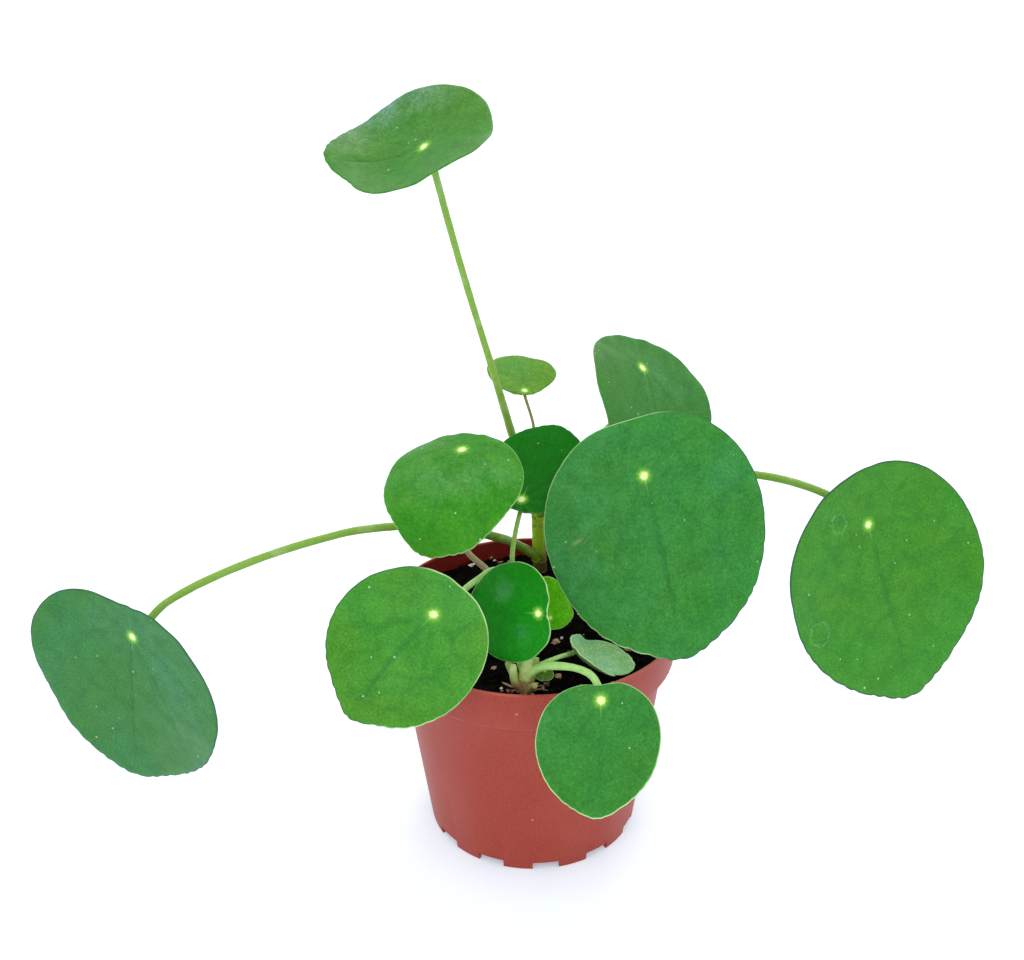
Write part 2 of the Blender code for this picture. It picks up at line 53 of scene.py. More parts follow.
class Flow:
    # One value running through a node tree. Arithmetic on it adds Math nodes.
    __add__ = __radd__ = sign("ADD")
    __sub__ = sign("SUBTRACT")
    __mul__ = __rmul__ = sign("MULTIPLY")
    __truediv__ = sign("DIVIDE")
    __pow__ = sign("POWER")
    __abs__ = sign("ABSOLUTE")

    def __init__(self, tree, socket):
        self.tree = tree
        self.socket = socket

    def __rsub__(self, other):
        return self * -1.0 + other

    def __neg__(self):
        return self * -1.0

    def math(self, operation, *others):
        return self.tree.node("ShaderNodeMath", dict(enumerate((self, *others))), operation=operation)

    def smooth(self, low, high):
        # 0 at low, 1 at high, eased between; low may be the greater one
        span = {"Value": self, "From Min": low, "From Max": high}
        return self.tree.node("ShaderNodeMapRange", span, interpolation_type="SMOOTHSTEP")

    def bell(self, spread):
        # 1 at zero, fading to both sides
        return (-((self / spread) ** 2.0)).math("EXPONENT")

    def split(self):
        outputs = self.tree.node("ShaderNodeSeparateXYZ", {0: self}).socket.node.outputs
        return [Flow(self.tree, outputs[axis]) for axis in range(3)]


class Tree:
    def __init__(self, tree):
        self.tree = tree

    def node(self, kind, values=None, out=0, **settings):
        made = self.tree.nodes.new(kind)
        for name, setting in settings.items():
            setattr(made, name, setting)
        for name, value in (values or {}).items():
            self.feed(made.inputs[name], value)
        return Flow(self, made.outputs[out])

    def feed(self, socket, value):
        if isinstance(value, Flow):
            self.tree.links.new(value.socket, socket)
        else:
            socket.default_value = (*value, 1.0) if socket.type == "RGBA" else value

    def join(self, x, y, z):
        return self.node("ShaderNodeCombineXYZ", {0: x, 1: y, 2: z})

    def scaled(self, vector, factor):
        return self.node("ShaderNodeVectorMath", {0: vector, "Scale": factor}, operation="SCALE")

    def grain(self, vector, scale, detail=2.0, roughness=0.5):
        values = {"Vector": vector, "Scale": scale, "Detail": detail, "Roughness": roughness}
        return self.node("ShaderNodeTexNoise", values)


class Finish(Tree):
    # A material that starts from one colour, is painted over in layers, and then feeds its shader
    def __init__(self, name, colour):
        self.material = bpy.data.materials.new(name)
        self.material.use_nodes = True
        super().__init__(self.material.node_tree)
        self.colour = colour

    def blend(self, share, first, second, how="MIX"):
        values = {0: share, 6: first, 7: second}
        return self.node("ShaderNodeMix", values, 2, data_type="RGBA", blend_type=how)

    def place(self):
        return self.node("ShaderNodeTexCoord", out="Object")

    def cells(self, vector, scale):
        # the way to the middle of the nearest cell, and three random numbers of that cell
        cell = self.node("ShaderNodeTexVoronoi", {"Vector": vector, "Scale": scale})
        return [cell] + Flow(self, cell.socket.node.outputs["Color"]).split()

    def paint(self, share, colour):
        self.colour = self.blend(share, self.colour, colour)

    def tint(self, share, colour):
        # multiplies what is there by a colour
        self.colour = self.blend(share, self.colour, colour, "MULTIPLY")

    def done(self, roughness, shine, bump=None, **values):
        # bump: a height, how far it reaches in millimetres, and its strength
        values = {"Base Color": self.colour, "Roughness": roughness, "Specular IOR Level": shine, **values}
        if bump:
            height, reach, strength = bump
            bumpValues = {"Height": height, "Distance": reach * mm, "Strength": strength}
            values["Normal"] = self.node("ShaderNodeBump", bumpValues)
        for name, value in values.items():
            self.feed(self.tree.nodes["Principled BSDF"].inputs[name.replace("_", " ")], value)
        return self.material


class Growth(Tree):
    # A geometry tree with named inputs, listed by kind, which grow() runs on an object
    def __init__(self, name, **inputs):
        group = bpy.data.node_groups.new(name, "GeometryNodeTree")
        super().__init__(group)
        for side in ("OUTPUT", "INPUT"):
            group.interface.new_socket("Geometry", in_out=side, socket_type="NodeSocketGeometry")
        for kind, labels in {**inputs, "Material": ["Material"]}.items():
            for label in labels:
                group.interface.new_socket(label, in_out="INPUT", socket_type="NodeSocket" + kind)
        self.entry = group.nodes.new("NodeGroupInput")
        self.exit = group.nodes.new("NodeGroupOutput")

    def __getitem__(self, label):
        return Flow(self, self.entry.outputs[label])

    def geo(self, kind, values=None, out=0, **settings):
        return self.node("GeometryNode" + kind, values, out, **settings)

    def position(self):
        return self.geo("InputPosition")

    def moved(self, geometry, how, where):
        # how is "Position" for a new place or "Offset" for a shift
        return self.geo("SetPosition", {0: geometry, how: where})

    def merged(self, geometry, reach):
        return self.geo("MergeByDistance", {0: geometry, "Distance": reach})

    def named(self, name, kind="FLOAT"):
        return self.geo("InputNamedAttribute", {"Name": name}, data_type=kind)

    def store(self, geometry, name, value, kind="FLOAT"):
        values = {"Geometry": geometry, "Name": name, "Value": value}
        return self.geo("StoreNamedAttribute", values, data_type=kind, domain="POINT")

    def end(self, geometry):
        # every tree ends in real faces with a material on them
        real = self.geo("RealizeInstances", {0: geometry})
        dressed = self.geo("SetMaterial", {0: real, "Material": self["Material"]})
        self.feed(self.exit.inputs[0], dressed)
        return self

    def grow(self, name, data, material, place=None, **values):
        host = added(name + "Host", data)
        modifier = host.modifiers.new("grow", "NODES")
        modifier.node_group = self.tree
        values = {key.replace("_", " "): value for key, value in values.items()}
        values["Material"] = material
        for item in self.tree.interface.items_tree:
            if item.in_out == "INPUT" and item.name in values:
                modifier[item.identifier] = values[item.name]
        graph = bpy.context.evaluated_depsgraph_get()
        mesh = bpy.data.meshes.new_from_object(host.evaluated_get(graph), depsgraph=graph)
        host.modifiers.clear()
        bpy.data.objects.remove(host)
        if place is not None:
            mesh.transform(place)
        return added(name, mesh)


def added(name, data):
    thing = bpy.data.objects.new(name, data)
    bpy.context.scene.collection.objects.link(thing)
    return thing


def solid(name, shape, material):
    # A piece from a bmesh, which it uses up
    mesh = bpy.data.meshes.new(name)
    shape.to_mesh(mesh)
    shape.free()
    mesh.materials.append(material)
    return added(name, mesh)


def placed(piece, slot, *nodes, sharp=180.0):
    # Shaded smooth, but for edges of more than sharp degrees, and set into the frame
    piece.data.shade_smooth()
    if sharp < 180.0:
        piece.data.set_sharp_from_angle(angle=math.radians(sharp))
    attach(piece, "root")
    if nodes:
        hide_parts(*nodes)


def distance(x, y):
    return (x * x + y * y) ** 0.5


# Camera, light and floor

view = {"place": (0.0, -383.544, 315.359), "right": (0.99988704, 0.01064683, -0.01060925),
        "up": (0.00485704, 0.43910621, 0.89842203), "lens": 47.18}
light = {"sky": (0.98, 0.99, 1.0), "skyStrength": 1.18,
         "lamps": [dict(name="softbox", place=(0.20, 0.78, 0.98), size=0.75, power=3.0),
                   dict(name="frontFill", place=(-0.7, -1.0, 0.9), size=1.0, power=1.5)],
         "aim": (0.0, 0.0, 0.1),
         "floor": (0.81, 0.87, 0.96), "floorGlow": (0.24, 0.28, 0.31)}


def makeCamera():
    right, up = Vector(view["right"]), Vector(view["up"])
    turn = Matrix((right, up, right.cross(up))).transposed().to_4x4()
    camera = added("camera", bpy.data.cameras.new("camera"))
    camera.data.lens = view["lens"]
    camera.data.clip_start = 0.01
    camera.matrix_world = Matrix.Translation(Vector(view["place"]) * mm) @ turn
    bpy.context.scene.camera = camera


def makeLight():
    sky = bpy.data.worlds.new("sky")
    sky.use_nodes = True
    background = sky.node_tree.nodes["Background"]
    background.inputs["Color"].default_value = (*light["sky"], 1.0)
    background.inputs["Strength"].default_value = light["skyStrength"]
    bpy.context.scene.world = sky
    bpy.context.scene.view_settings.view_transform = "Standard"
    for lamp in light["lamps"]:
        data = bpy.data.lights.new(lamp["name"], "AREA")
        data.shape = "DISK"
        data.size = lamp["size"]
        data.energy = lamp["power"]
        aim = Vector(lamp["place"]) - Vector(light["aim"])
        turn = aim.to_track_quat("Z", "Y").to_matrix().to_4x4()
        added(lamp["name"], data).matrix_world = Matrix.Translation(lamp["place"]) @ turn


def makeFloor():
    grid = bmesh.new()
    bmesh.ops.create_grid(grid, x_segments=2, y_segments=2, size=6.0)
    finish = Finish("paleFloor", light["floor"])
    material = finish.done(0.8, 0.1, Emission_Color=light["floorGlow"], Emission_Strength=1.0)
    solid("floor", grid, material)


# Pot

# In millimetres. The lip is how far the rim is rounded inwards and down, the foot ring its thickness at
# the channel and at the ground, and the inner sole how much smaller the sole is inside, twice.
pot = {"rim": 49.8, "height": 80.0, "band": 15.0, "bandFoot": 47.7, "step": 3.1, "base": 36.0,
       "wall": 1.0, "floor": 1.2, "sole": 27.0, "channel": 3.2, "ledgeSlope": 0.5, "corner": 0.45,
       "notches": 12, "notchWidth": 9.0, "notchHeight": 3.0, "notchDepth": 4.0, "firstNotch": -83.0,
       "lip": (0.2, 0.3), "footRing": (1.6, 1.4), "soleSlope": 0.8, "innerSole": (0.6, 1.2),
       "drains": 6, "drainRadius": 1.7, "drainInset": 0.3, "drainSides": 24, "punch": 4.0, "steps": 216,
       "weld": 0.002,
       "colour": (0.370, 0.043, 0.020), "pale": (0.45, 0.090, 0.062), "dark": (0.235, 0.016, 0.006),
       "inside": (0.170, 0.0030, 0.0010), "speck": (0.62, 0.33, 0.27)}
ledgeHeight = pot["height"] - pot["band"]


def wallRadius(height):
    return pot["base"] + (pot["bandFoot"] - pot["step"] - pot["base"]) * height / ledgeHeight


def innerRadius(height):
    if height <= ledgeHeight + pot["wall"]:
        return wallRadius(height) - pot["wall"]
    share = (height - ledgeHeight) / pot["band"]
    return pot["bandFoot"] - pot["wall"] + (pot["rim"] - pot["bandFoot"]) * share


def rounded(corners, radius):
    # Replaces each inner corner of an open outline with a small arc
    points = [Vector(corners[0])]
    for before, corner, after in zip(corners, corners[1:], corners[2:]):
        before, corner, after = Vector(before), Vector(corner), Vector(after)
        reach = min(radius, 0.45 * (corner - before).length, 0.45 * (after - corner).length)
        start = corner + (before - corner).normalized() * reach
        stop = corner + (after - corner).normalized() * reach
        for k in range(5):
            t = k / 4.0
            points.append(start * (1 - t) ** 2 + corner * 2.0 * t * (1 - t) + stop * t * t)
    points.append(Vector(corners[-1]))
    return points


def potOutline():
    p, ledge = pot, ledgeHeight + pot["wall"]
    corners = [
        (0.0, 0.0),
        (p["sole"], 0.0),
        (p["sole"] + p["soleSlope"], p["channel"]),
        (p["base"] - p["footRing"][0], p["channel"]),
        (p["base"] - p["footRing"][1], 0.0),
        (p["base"], 0.0),
        (wallRadius(ledgeHeight), ledgeHeight),
        (p["bandFoot"], ledgeHeight + p["ledgeSlope"]),
        (p["rim"], p["height"] - p["lip"][1]),
        (p["rim"] - p["lip"][0], p["height"]),
        (innerRadius(p["height"]) + p["lip"][0], p["height"]),
        (innerRadius(ledge + p["ledgeSlope"]), ledge + p["ledgeSlope"]),
        (innerRadius(ledge), ledge),
        (innerRadius(p["channel"] + p["floor"]), p["channel"] + p["floor"]),
        (p["sole"] - p["innerSole"][0], p["channel"] + p["floor"]),
        (p["sole"] - p["innerSole"][1], p["floor"]),
        (0.0, p["floor"]),
    ]
    return rounded(corners, p["corner"])


def potTree(count):
    # Turns an outline of points (radius, 0, height) round Z, then cuts the foot's notches and drains
    growth = Growth("turnedPot", Int=["Steps", "Notches", "Drains"], Vector=["Notch Size"],
                    Float=["Notch Turn", "Notch Reach", "Drain Radius", "Drain Reach", "Drain Height"])
    sheet = growth.geo("MeshGrid", {0: 1.0, 1: 1.0, 2: growth["Steps"], 3: count})
    across, along, _ = growth.position().split()
    angle = (across + 0.5) * math.tau
    index = ((along + 0.5) * (count - 1.0)).math("ROUND")
    values = {0: growth["Geometry"], "Value": growth.position(), "Index": index}
    radius, _, height = growth.geo("SampleIndex", values, data_type="FLOAT_VECTOR").split()
    where = growth.join(radius * angle.math("COSINE"), radius * angle.math("SINE"), height)
    wall = growth.merged(growth.moved(sheet, "Position", where), pot["weld"] * mm)

    def ringOf(number, reach, lift, cutter):
        turn = growth.geo("InputIndex") / number * math.tau + growth["Notch Turn"]
        spot = growth.join(turn.math("COSINE") * reach, turn.math("SINE") * reach, lift)
        spots = growth.geo("Points", {"Count": number, "Position": spot})
        values = {"Points": spots, "Instance": cutter, "Rotation": growth.join(0.0, 0.0, turn)}
        return growth.geo("RealizeInstances", {0: growth.geo("InstanceOnPoints", values)})

    block = growth.geo("MeshCube", {"Size": growth["Notch Size"]})
    notches = ringOf(growth["Notches"], growth["Notch Reach"], 0.0, block)
    values = {"Vertices": pot["drainSides"], "Radius": growth["Drain Radius"], "Depth": pot["punch"] * mm}
    punch = growth.geo("MeshCylinder", values)
    drains = ringOf(growth["Drains"], growth["Drain Reach"], growth["Drain Height"], punch)
    for cutters in (notches, drains):
        wall = growth.geo("MeshBoolean", {0: wall, 1: cutters}, operation="DIFFERENCE", solver="EXACT")
    return growth.end(wall)


def potFinish():
    # Moulded plastic: a fine mottled grain, paler at the lip and the band's foot with a painted highlight,
    # dusty specks, darker inside with painted shade
    finish = Finish("terracottaPlastic", pot["dark"])
    place = finish.place()
    x, y, height = place.split()
    reach = distance(x, y) / mm
    mottle = finish.grain(place, 2000.0, 3.0, 0.7)
    cloud = finish.grain(place, 30.0, 3.0)
    finish.paint(mottle.smooth(0.26, 0.70), pot["colour"])
    finish.paint(cloud.smooth(0.45, 0.8) * 0.22, pot["pale"])
    lift = height / mm
    # a painted highlight: paler at the lip and along the foot of the band, broken up by grain
    lip = lift.smooth(pot["height"] - 0.9, pot["height"] - 0.15)
    foot = abs(lift - (ledgeHeight + 0.6)).smooth(0.8, 0.2)
    paintedHighlight = (lip * 0.75 + foot * 0.28) * finish.grain(place, 90.0, 3.0).smooth(0.25, 0.6)
    finish.paint(paintedHighlight, pot["pale"])
    # the inner face, closer to the axis than the middle of the wall, darkened with painted shade
    bandShare = lift.smooth(ledgeHeight, ledgeHeight + 1.0)
    slope = (pot["bandFoot"] - pot["step"] - pot["base"]) / ledgeHeight
    bandSlope = (pot["rim"] - pot["bandFoot"]) / pot["band"]
    plain = lift * slope + (pot["base"] - 0.5 * pot["wall"])
    band = (lift - ledgeHeight) * bandSlope + (pot["bandFoot"] - 0.5 * pot["wall"])
    middle = plain + (band - plain) * bandShare
    inside = (middle - reach).smooth(-0.1, 0.1) * lift.smooth(3.0, 4.0) * (1.0 - lip)
    finish.paint(inside, pot["inside"])
    cell, chance, _, _ = finish.cells(place, 210.0)
    speck = cell.smooth(0.16, 0.08) * chance.smooth(0.955, 0.965)
    finish.paint(speck * 0.45, pot["speck"])
    return finish.done(0.40 + mottle * 0.16, 0.30, (mottle, 0.05, 0.5))


def makePot():
    outline = potOutline()
    line = bpy.data.meshes.new("potOutline")
    line.from_pydata([(radius * mm, 0.0, height * mm) for radius, height in outline], [], [])
    piece = potTree(len(outline)).grow(
        "potShell", line, potFinish(), Steps=pot["steps"] + 1, Notches=pot["notches"], Drains=pot["drains"],
        Notch_Turn=math.radians(pot["firstNotch"]), Notch_Reach=pot["base"] * mm,
        Notch_Size=(pot["notchDepth"] * mm, pot["notchWidth"] * mm, 2.0 * pot["notchHeight"] * mm),
        Drain_Radius=pot["drainRadius"] * mm,
        Drain_Reach=(0.5 * (pot["sole"] + pot["base"]) - pot["drainInset"]) * mm,
        Drain_Height=(pot["channel"] + 0.5 * pot["floor"]) * mm)
    placed(piece, "pot", "pot", sharp=40.0)


# Stems and stalks

# Radii are at the foot and at the tip. Scars are their depth and how far apart they are.
stems = {"main": {"foot": (3.0, 36.5, 50.0), "top": (2.0, 35.0, 116.0), "radii": (2.75, 2.42),
                  "scars": (0.15, 4.4)},
         "pup": {"foot": (-2.5, -38.5, 64.5), "top": (-1.0, -38.0, 87.0), "radii": (0.9, 2.2),
                 "scars": (0.25, 3.2)}}
# Lumps are their size, rise and shift. Calm says how near a stem it starts, how far it reaches and the
# least that is left of the relief.
soil = {"level": 74.0, "mound": 0.9, "crumb": 6.0, "relief": 1.1,
        "lumps": ((2.6, 0.9, 3.0), (1.1, 0.35, 9.0)), "calm": (3.0, 7.0, 0.25),
        "gap": 0.3, "play": 0.05, "sides": 288, "rings": 130,
        "colour": (0.0030, 0.0026, 0.0020), "damp": (0.0010, 0.0010, 0.0009),
        "fibre": (0.026, 0.015, 0.008)}


def stemPoint(stem, height):
    # Axis of a stem at a height, in millimetres; below the soil it stands upright
    foot, top = Vector(stems[stem]["foot"]), Vector(stems[stem]["top"])
    start = soil["level"] + 1.0
    share = min(1.0, max(0.0, (height - start) / (top.z - start)))
    return Vector((foot.x + (top.x - foot.x) * share, foot.y + (top.y - foot.y) * share, height))


def stalkTree():
    # A round stalk along the curve, thick at its foot, flared where it joins, and slightly lumpy
    growth = Growth("stalk", Int=["Sides"],
                    Float=["Step", "Foot Radius", "Tip Radius", "Foot Flare", "Tip Flare", "Flare Length",
                           "Lumps", "Seed", "Scar Depth", "Scar Spacing"])
    curve = growth.geo("ResampleCurve", {0: growth["Geometry"], "Length": growth["Step"]}, mode="LENGTH")
    share = growth.geo("SplineParameter", out="Factor")
    run = growth.geo("SplineParameter", out="Length")
    total = run / share.math("MAXIMUM", 0.0001)
    foot, tip = growth["Foot Radius"], growth["Tip Radius"]
    radius = foot + (tip - foot) * (share * 2.0).math("MINIMUM", 1.0)
    spread = growth["Flare Length"]
    footFlare = (-(run / spread)).math("EXPONENT") * growth["Foot Flare"]
    tipFlare = (-((total - run) / spread)).math("EXPONENT") * growth["Tip Flare"]
    # a sharp ring at each old leaf scar
    ring = (run / growth["Scar Spacing"]).math("FRACT")
    scar = abs(ring - 0.5).smooth(0.12, 0.0) - abs(ring - 0.62).smooth(0.08, 0.0) * 0.6
    radius = radius * (footFlare + tipFlare + 1.0) + scar * growth["Scar Depth"]
    curve = growth.store(growth.store(curve, "along", share), "run", run)
    profile = growth.geo("CurvePrimitiveCircle", {0: growth["Sides"], "Radius": 1.0})
    values = {"Curve": curve, "Profile Curve": profile, "Scale": radius, "Fill Caps": True}
    tube = growth.geo("CurveToMesh", values)
    shift = growth.join(growth["Seed"], 0.0, 0.0)
    spot = growth.node("ShaderNodeVectorMath", {0: growth.position(), 1: shift}, operation="ADD")
    lump = growth.grain(spot, 420.0, 2.0) + growth.grain(spot, 130.0, 1.0) - 1.0
    push = growth.scaled(growth.geo("InputNormal"), lump * growth["Lumps"])
    return growth.end(growth.moved(tube, "Offset", push))


def curveThrough(name, paths):
    curve = bpy.data.curves.new(name, "CURVE")
    curve.dimensions = "3D"
    for path in paths:
        spline = curve.splines.new("POLY")
        spline.points.add(len(path) - 1)
        for control, point in zip(spline.points, path):
            control.co = (*(point * mm), 1.0)
    return curve


def smoothPath(points, step):
    # Samples a curve that passes through every point, its turns no wider than the points are apart
    path = [points[0]]
    ends = [points[0] * 2.0 - points[1]] + list(points) + [points[-1] * 2.0 - points[-2]]
    for before, start, stop, after in zip(ends, ends[1:], ends[2:], ends[3:]):
        reach = (stop - start).length
        leaving = (stop - before) * (reach / ((start - before).length + reach))
        arriving = (after - start) * (reach / ((after - stop).length + reach))
        count = max(1, round(reach / step))
        for k in range(1, count + 1):
            t = k / count
            path.append(start * (2.0 * t ** 3 - 3.0 * t * t + 1.0) + stop * (3.0 * t * t - 2.0 * t ** 3)
                        + leaving * (t ** 3 - 2.0 * t * t + t) + arriving * (t ** 3 - t * t))
    return path


stalkLook = {"green": (0.205, 0.385, 0.036), "pale": (0.38, 0.66, 0.19), "olive": (0.17, 0.29, 0.016),
             "tan": (0.42, 0.34, 0.17), "brown": (0.34, 0.24, 0.08), "streak": (0.62, 0.66, 0.5),
             "sheen": (0.75, 0.85, 0.5), "flares": (0.25, 0.30, 1.6), "lumps": 0.10, "step": 0.6}


def stalkFinish(name, foot, tip):
    # Juicy stalk skin: fine lengthwise streaks, from the foot's colour to the tip's
    finish = Finish(name, foot)
    place = finish.place()
    along = finish.node("ShaderNodeAttribute", out="Fac", attribute_name="along")
    patch = finish.grain(place, 160.0, 3.0)
    streak = finish.grain(place, 900.0, 3.0, 0.6)
    finish.paint((along + (patch - 0.5) * 0.25).smooth(0.05, 0.45), tip)
    finish.tint(streak.smooth(0.42, 0.75) * 0.55, stalkLook["streak"])
    finish.paint(patch.smooth(0.52, 0.75) * 0.175, stalkLook["sheen"])
    return finish.done(0.36 + streak * 0.15, 0.4, (streak, 0.12, 0.6))


def barkFinish():
    # Trunk skin: olive green with corky brown patches and pale lines at the scars
    look = {"green": (0.335, 0.530, 0.016), "cork": (0.200, 0.145, 0.035), "pale": (0.40, 0.42, 0.16),
            "foot": (0.055, 0.030, 0.010), "crack": (0.05, 0.035, 0.012)}
    finish = Finish("trunkBark", look["green"])
    place = finish.place()
    run = finish.node("ShaderNodeAttribute", out="Fac", attribute_name="run")
    patch = finish.grain(place, 210.0, 4.0, 0.6)
    crack = finish.grain(place, 1100.0, 4.0, 0.7)
    finish.paint(patch.smooth(0.46, 0.68), look["cork"])
    low = (run / mm + patch * 9.0).smooth(40.0, 32.0)
    finish.paint(low * 0.9, look["foot"])
    ring = (run / (stems["main"]["scars"][1] * mm)).math("FRACT")
    line = abs(ring - 0.5).smooth(0.10, 0.02) * patch.smooth(0.3, 0.5)
    finish.paint(line * 0.3, look["pale"])
    finish.paint(crack.smooth(0.5, 0.8) * 0.45, look["crack"])
    return finish.done(0.55 + crack * 0.2, 0.3, (crack * 0.7 + patch * 0.3, 0.35, 0.9))


def crownFinish():
    # The young shoot: pale green, tan and scaly at its foot
    look = {"foot": (0.30, 0.19, 0.075), "green": (0.44, 0.60, 0.18), "tan": (0.50, 0.52, 0.26),
            "dark": (0.10, 0.075, 0.03)}
    finish = Finish("youngShoot", look["foot"])
    place = finish.place()
    _, _, height = place.split()
    patch = finish.grain(place, 300.0, 4.0, 0.6)
    finish.paint((height / mm + patch * 5.0).smooth(79.0, 83.5), look["green"])
    finish.paint(patch.smooth(0.5, 0.7) * 0.5, look["tan"])
    dark = finish.grain(place, 900.0, 3.0)
    finish.paint(dark.smooth(0.55, 0.8) * 0.4, look["dark"])
    return finish.done(0.5, 0.5, (dark * 0.5 + patch * 0.5, 0.4, 0.8))


def growStalks(growth, name, paths, material, radii, flares, lumps, seed, step=0.3, sides=20,
               scars=(0.0, 1.0)):
    # In millimetres. The flares: how much wider at the foot, at the tip, and how far they reach.
    return growth.grow(
        name, curveThrough(name + "Line", paths), material, Step=step * mm, Sides=sides, Seed=seed,
        Foot_Radius=radii[0] * mm, Tip_Radius=radii[1] * mm, Foot_Flare=flares[0], Tip_Flare=flares[1],
        Flare_Length=flares[2] * mm, Lumps=lumps * mm, Scar_Depth=scars[0] * mm, Scar_Spacing=scars[1] * mm)


def makeStems(growth):
    main, pup = stems["main"], stems["pup"]
    trunk = [stemPoint("main", main["foot"][2] + 1.5 * k) for k in range(45)]
    piece = growStalks(growth, "trunk", [trunk], barkFinish(), main["radii"], (0.05, -0.25, 1.5),
                       lumps=0.30, seed=3.0, step=0.45, sides=36, scars=main["scars"])
    placed(piece, "bark", "main_stem")
    shoot = [stemPoint("pup", pup["foot"][2] + 0.5 * k) for k in range(46)]
    piece = growStalks(growth, "youngShoot", [shoot], crownFinish(), pup["radii"], (0.1, -0.5, 2.5),
                       lumps=0.55, seed=8.0, step=0.35, sides=36, scars=pup["scars"])
    placed(piece, "crown", "pup_stem")


sheaths = [[(-3.2, -38.6, 74.8), (-5.2, -39.6, 78), (-5.8, -40.1, 82), (-5.7, -40.3, 84.6)],
           [(-0.8, -39.4, 75.5), (0.2, -41.0, 77.4), (0.9, -42.4, 78.6)],
           [(-1, -37.6, 76), (0.4, -35, 80), (1.4, -33.4, 83)],
           [(-3.4, -37.4, 75.5), (-6, -35.6, 79), (-7.6, -34.2, 82)]]


def makeSheaths(growth):
    # The bases of stalks long gone, round the young shoot
    paths = [smoothPath([Vector(point) for point in sheath], 0.5) for sheath in sheaths]
    piece = growStalks(growth, "sheaths", paths, crownFinish(), (1.5, 1.25), (0.1, -0.3, 0.8),
                       lumps=0.35, seed=2.0)
    placed(piece, "crown")


roots = {"count": 11, "centre": (-2.3, -38.4), "reach": (4.0, 8.5), "radii": (0.62, 0.34), "rise": 3.2,
         "fall": 1.5, "wander": 0.25, "colours": ((0.20, 0.12, 0.06), (0.34, 0.22, 0.12))}


def makeRootlets(growth):
    # They leave the young shoot's foot and run over the soil
    chance = random.Random(5)
    (middleX, middleY), drift = roots["centre"], roots["wander"]
    paths = []
    for k in range(roots["count"]):
        turn = math.tau * k / roots["count"] + chance.uniform(-0.3, 0.3)
        reach = chance.uniform(*roots["reach"])
        path = []
        for far in (1.0, 2.4, 0.65 * reach, reach):
            x = middleX + far * math.cos(turn + chance.uniform(-drift, drift))
            y = middleY + far * math.sin(turn + chance.uniform(-drift, drift))
            rise = roots["rise"] * math.exp(-((far - 0.6) / roots["fall"]) ** 2) + chance.uniform(-0.1, 0.5)
            path.append(Vector((x, y, crumbHeight(x, y) + rise)))
        paths.append(smoothPath(path, 0.4))
    skin = stalkFinish("rootSkin", *roots["colours"])
    piece = growStalks(growth, "rootlets", paths, skin, roots["radii"], (0.5, -0.6, 0.8),
                       lumps=0.3, seed=6.0, sides=10)
    placed(piece, "crown")
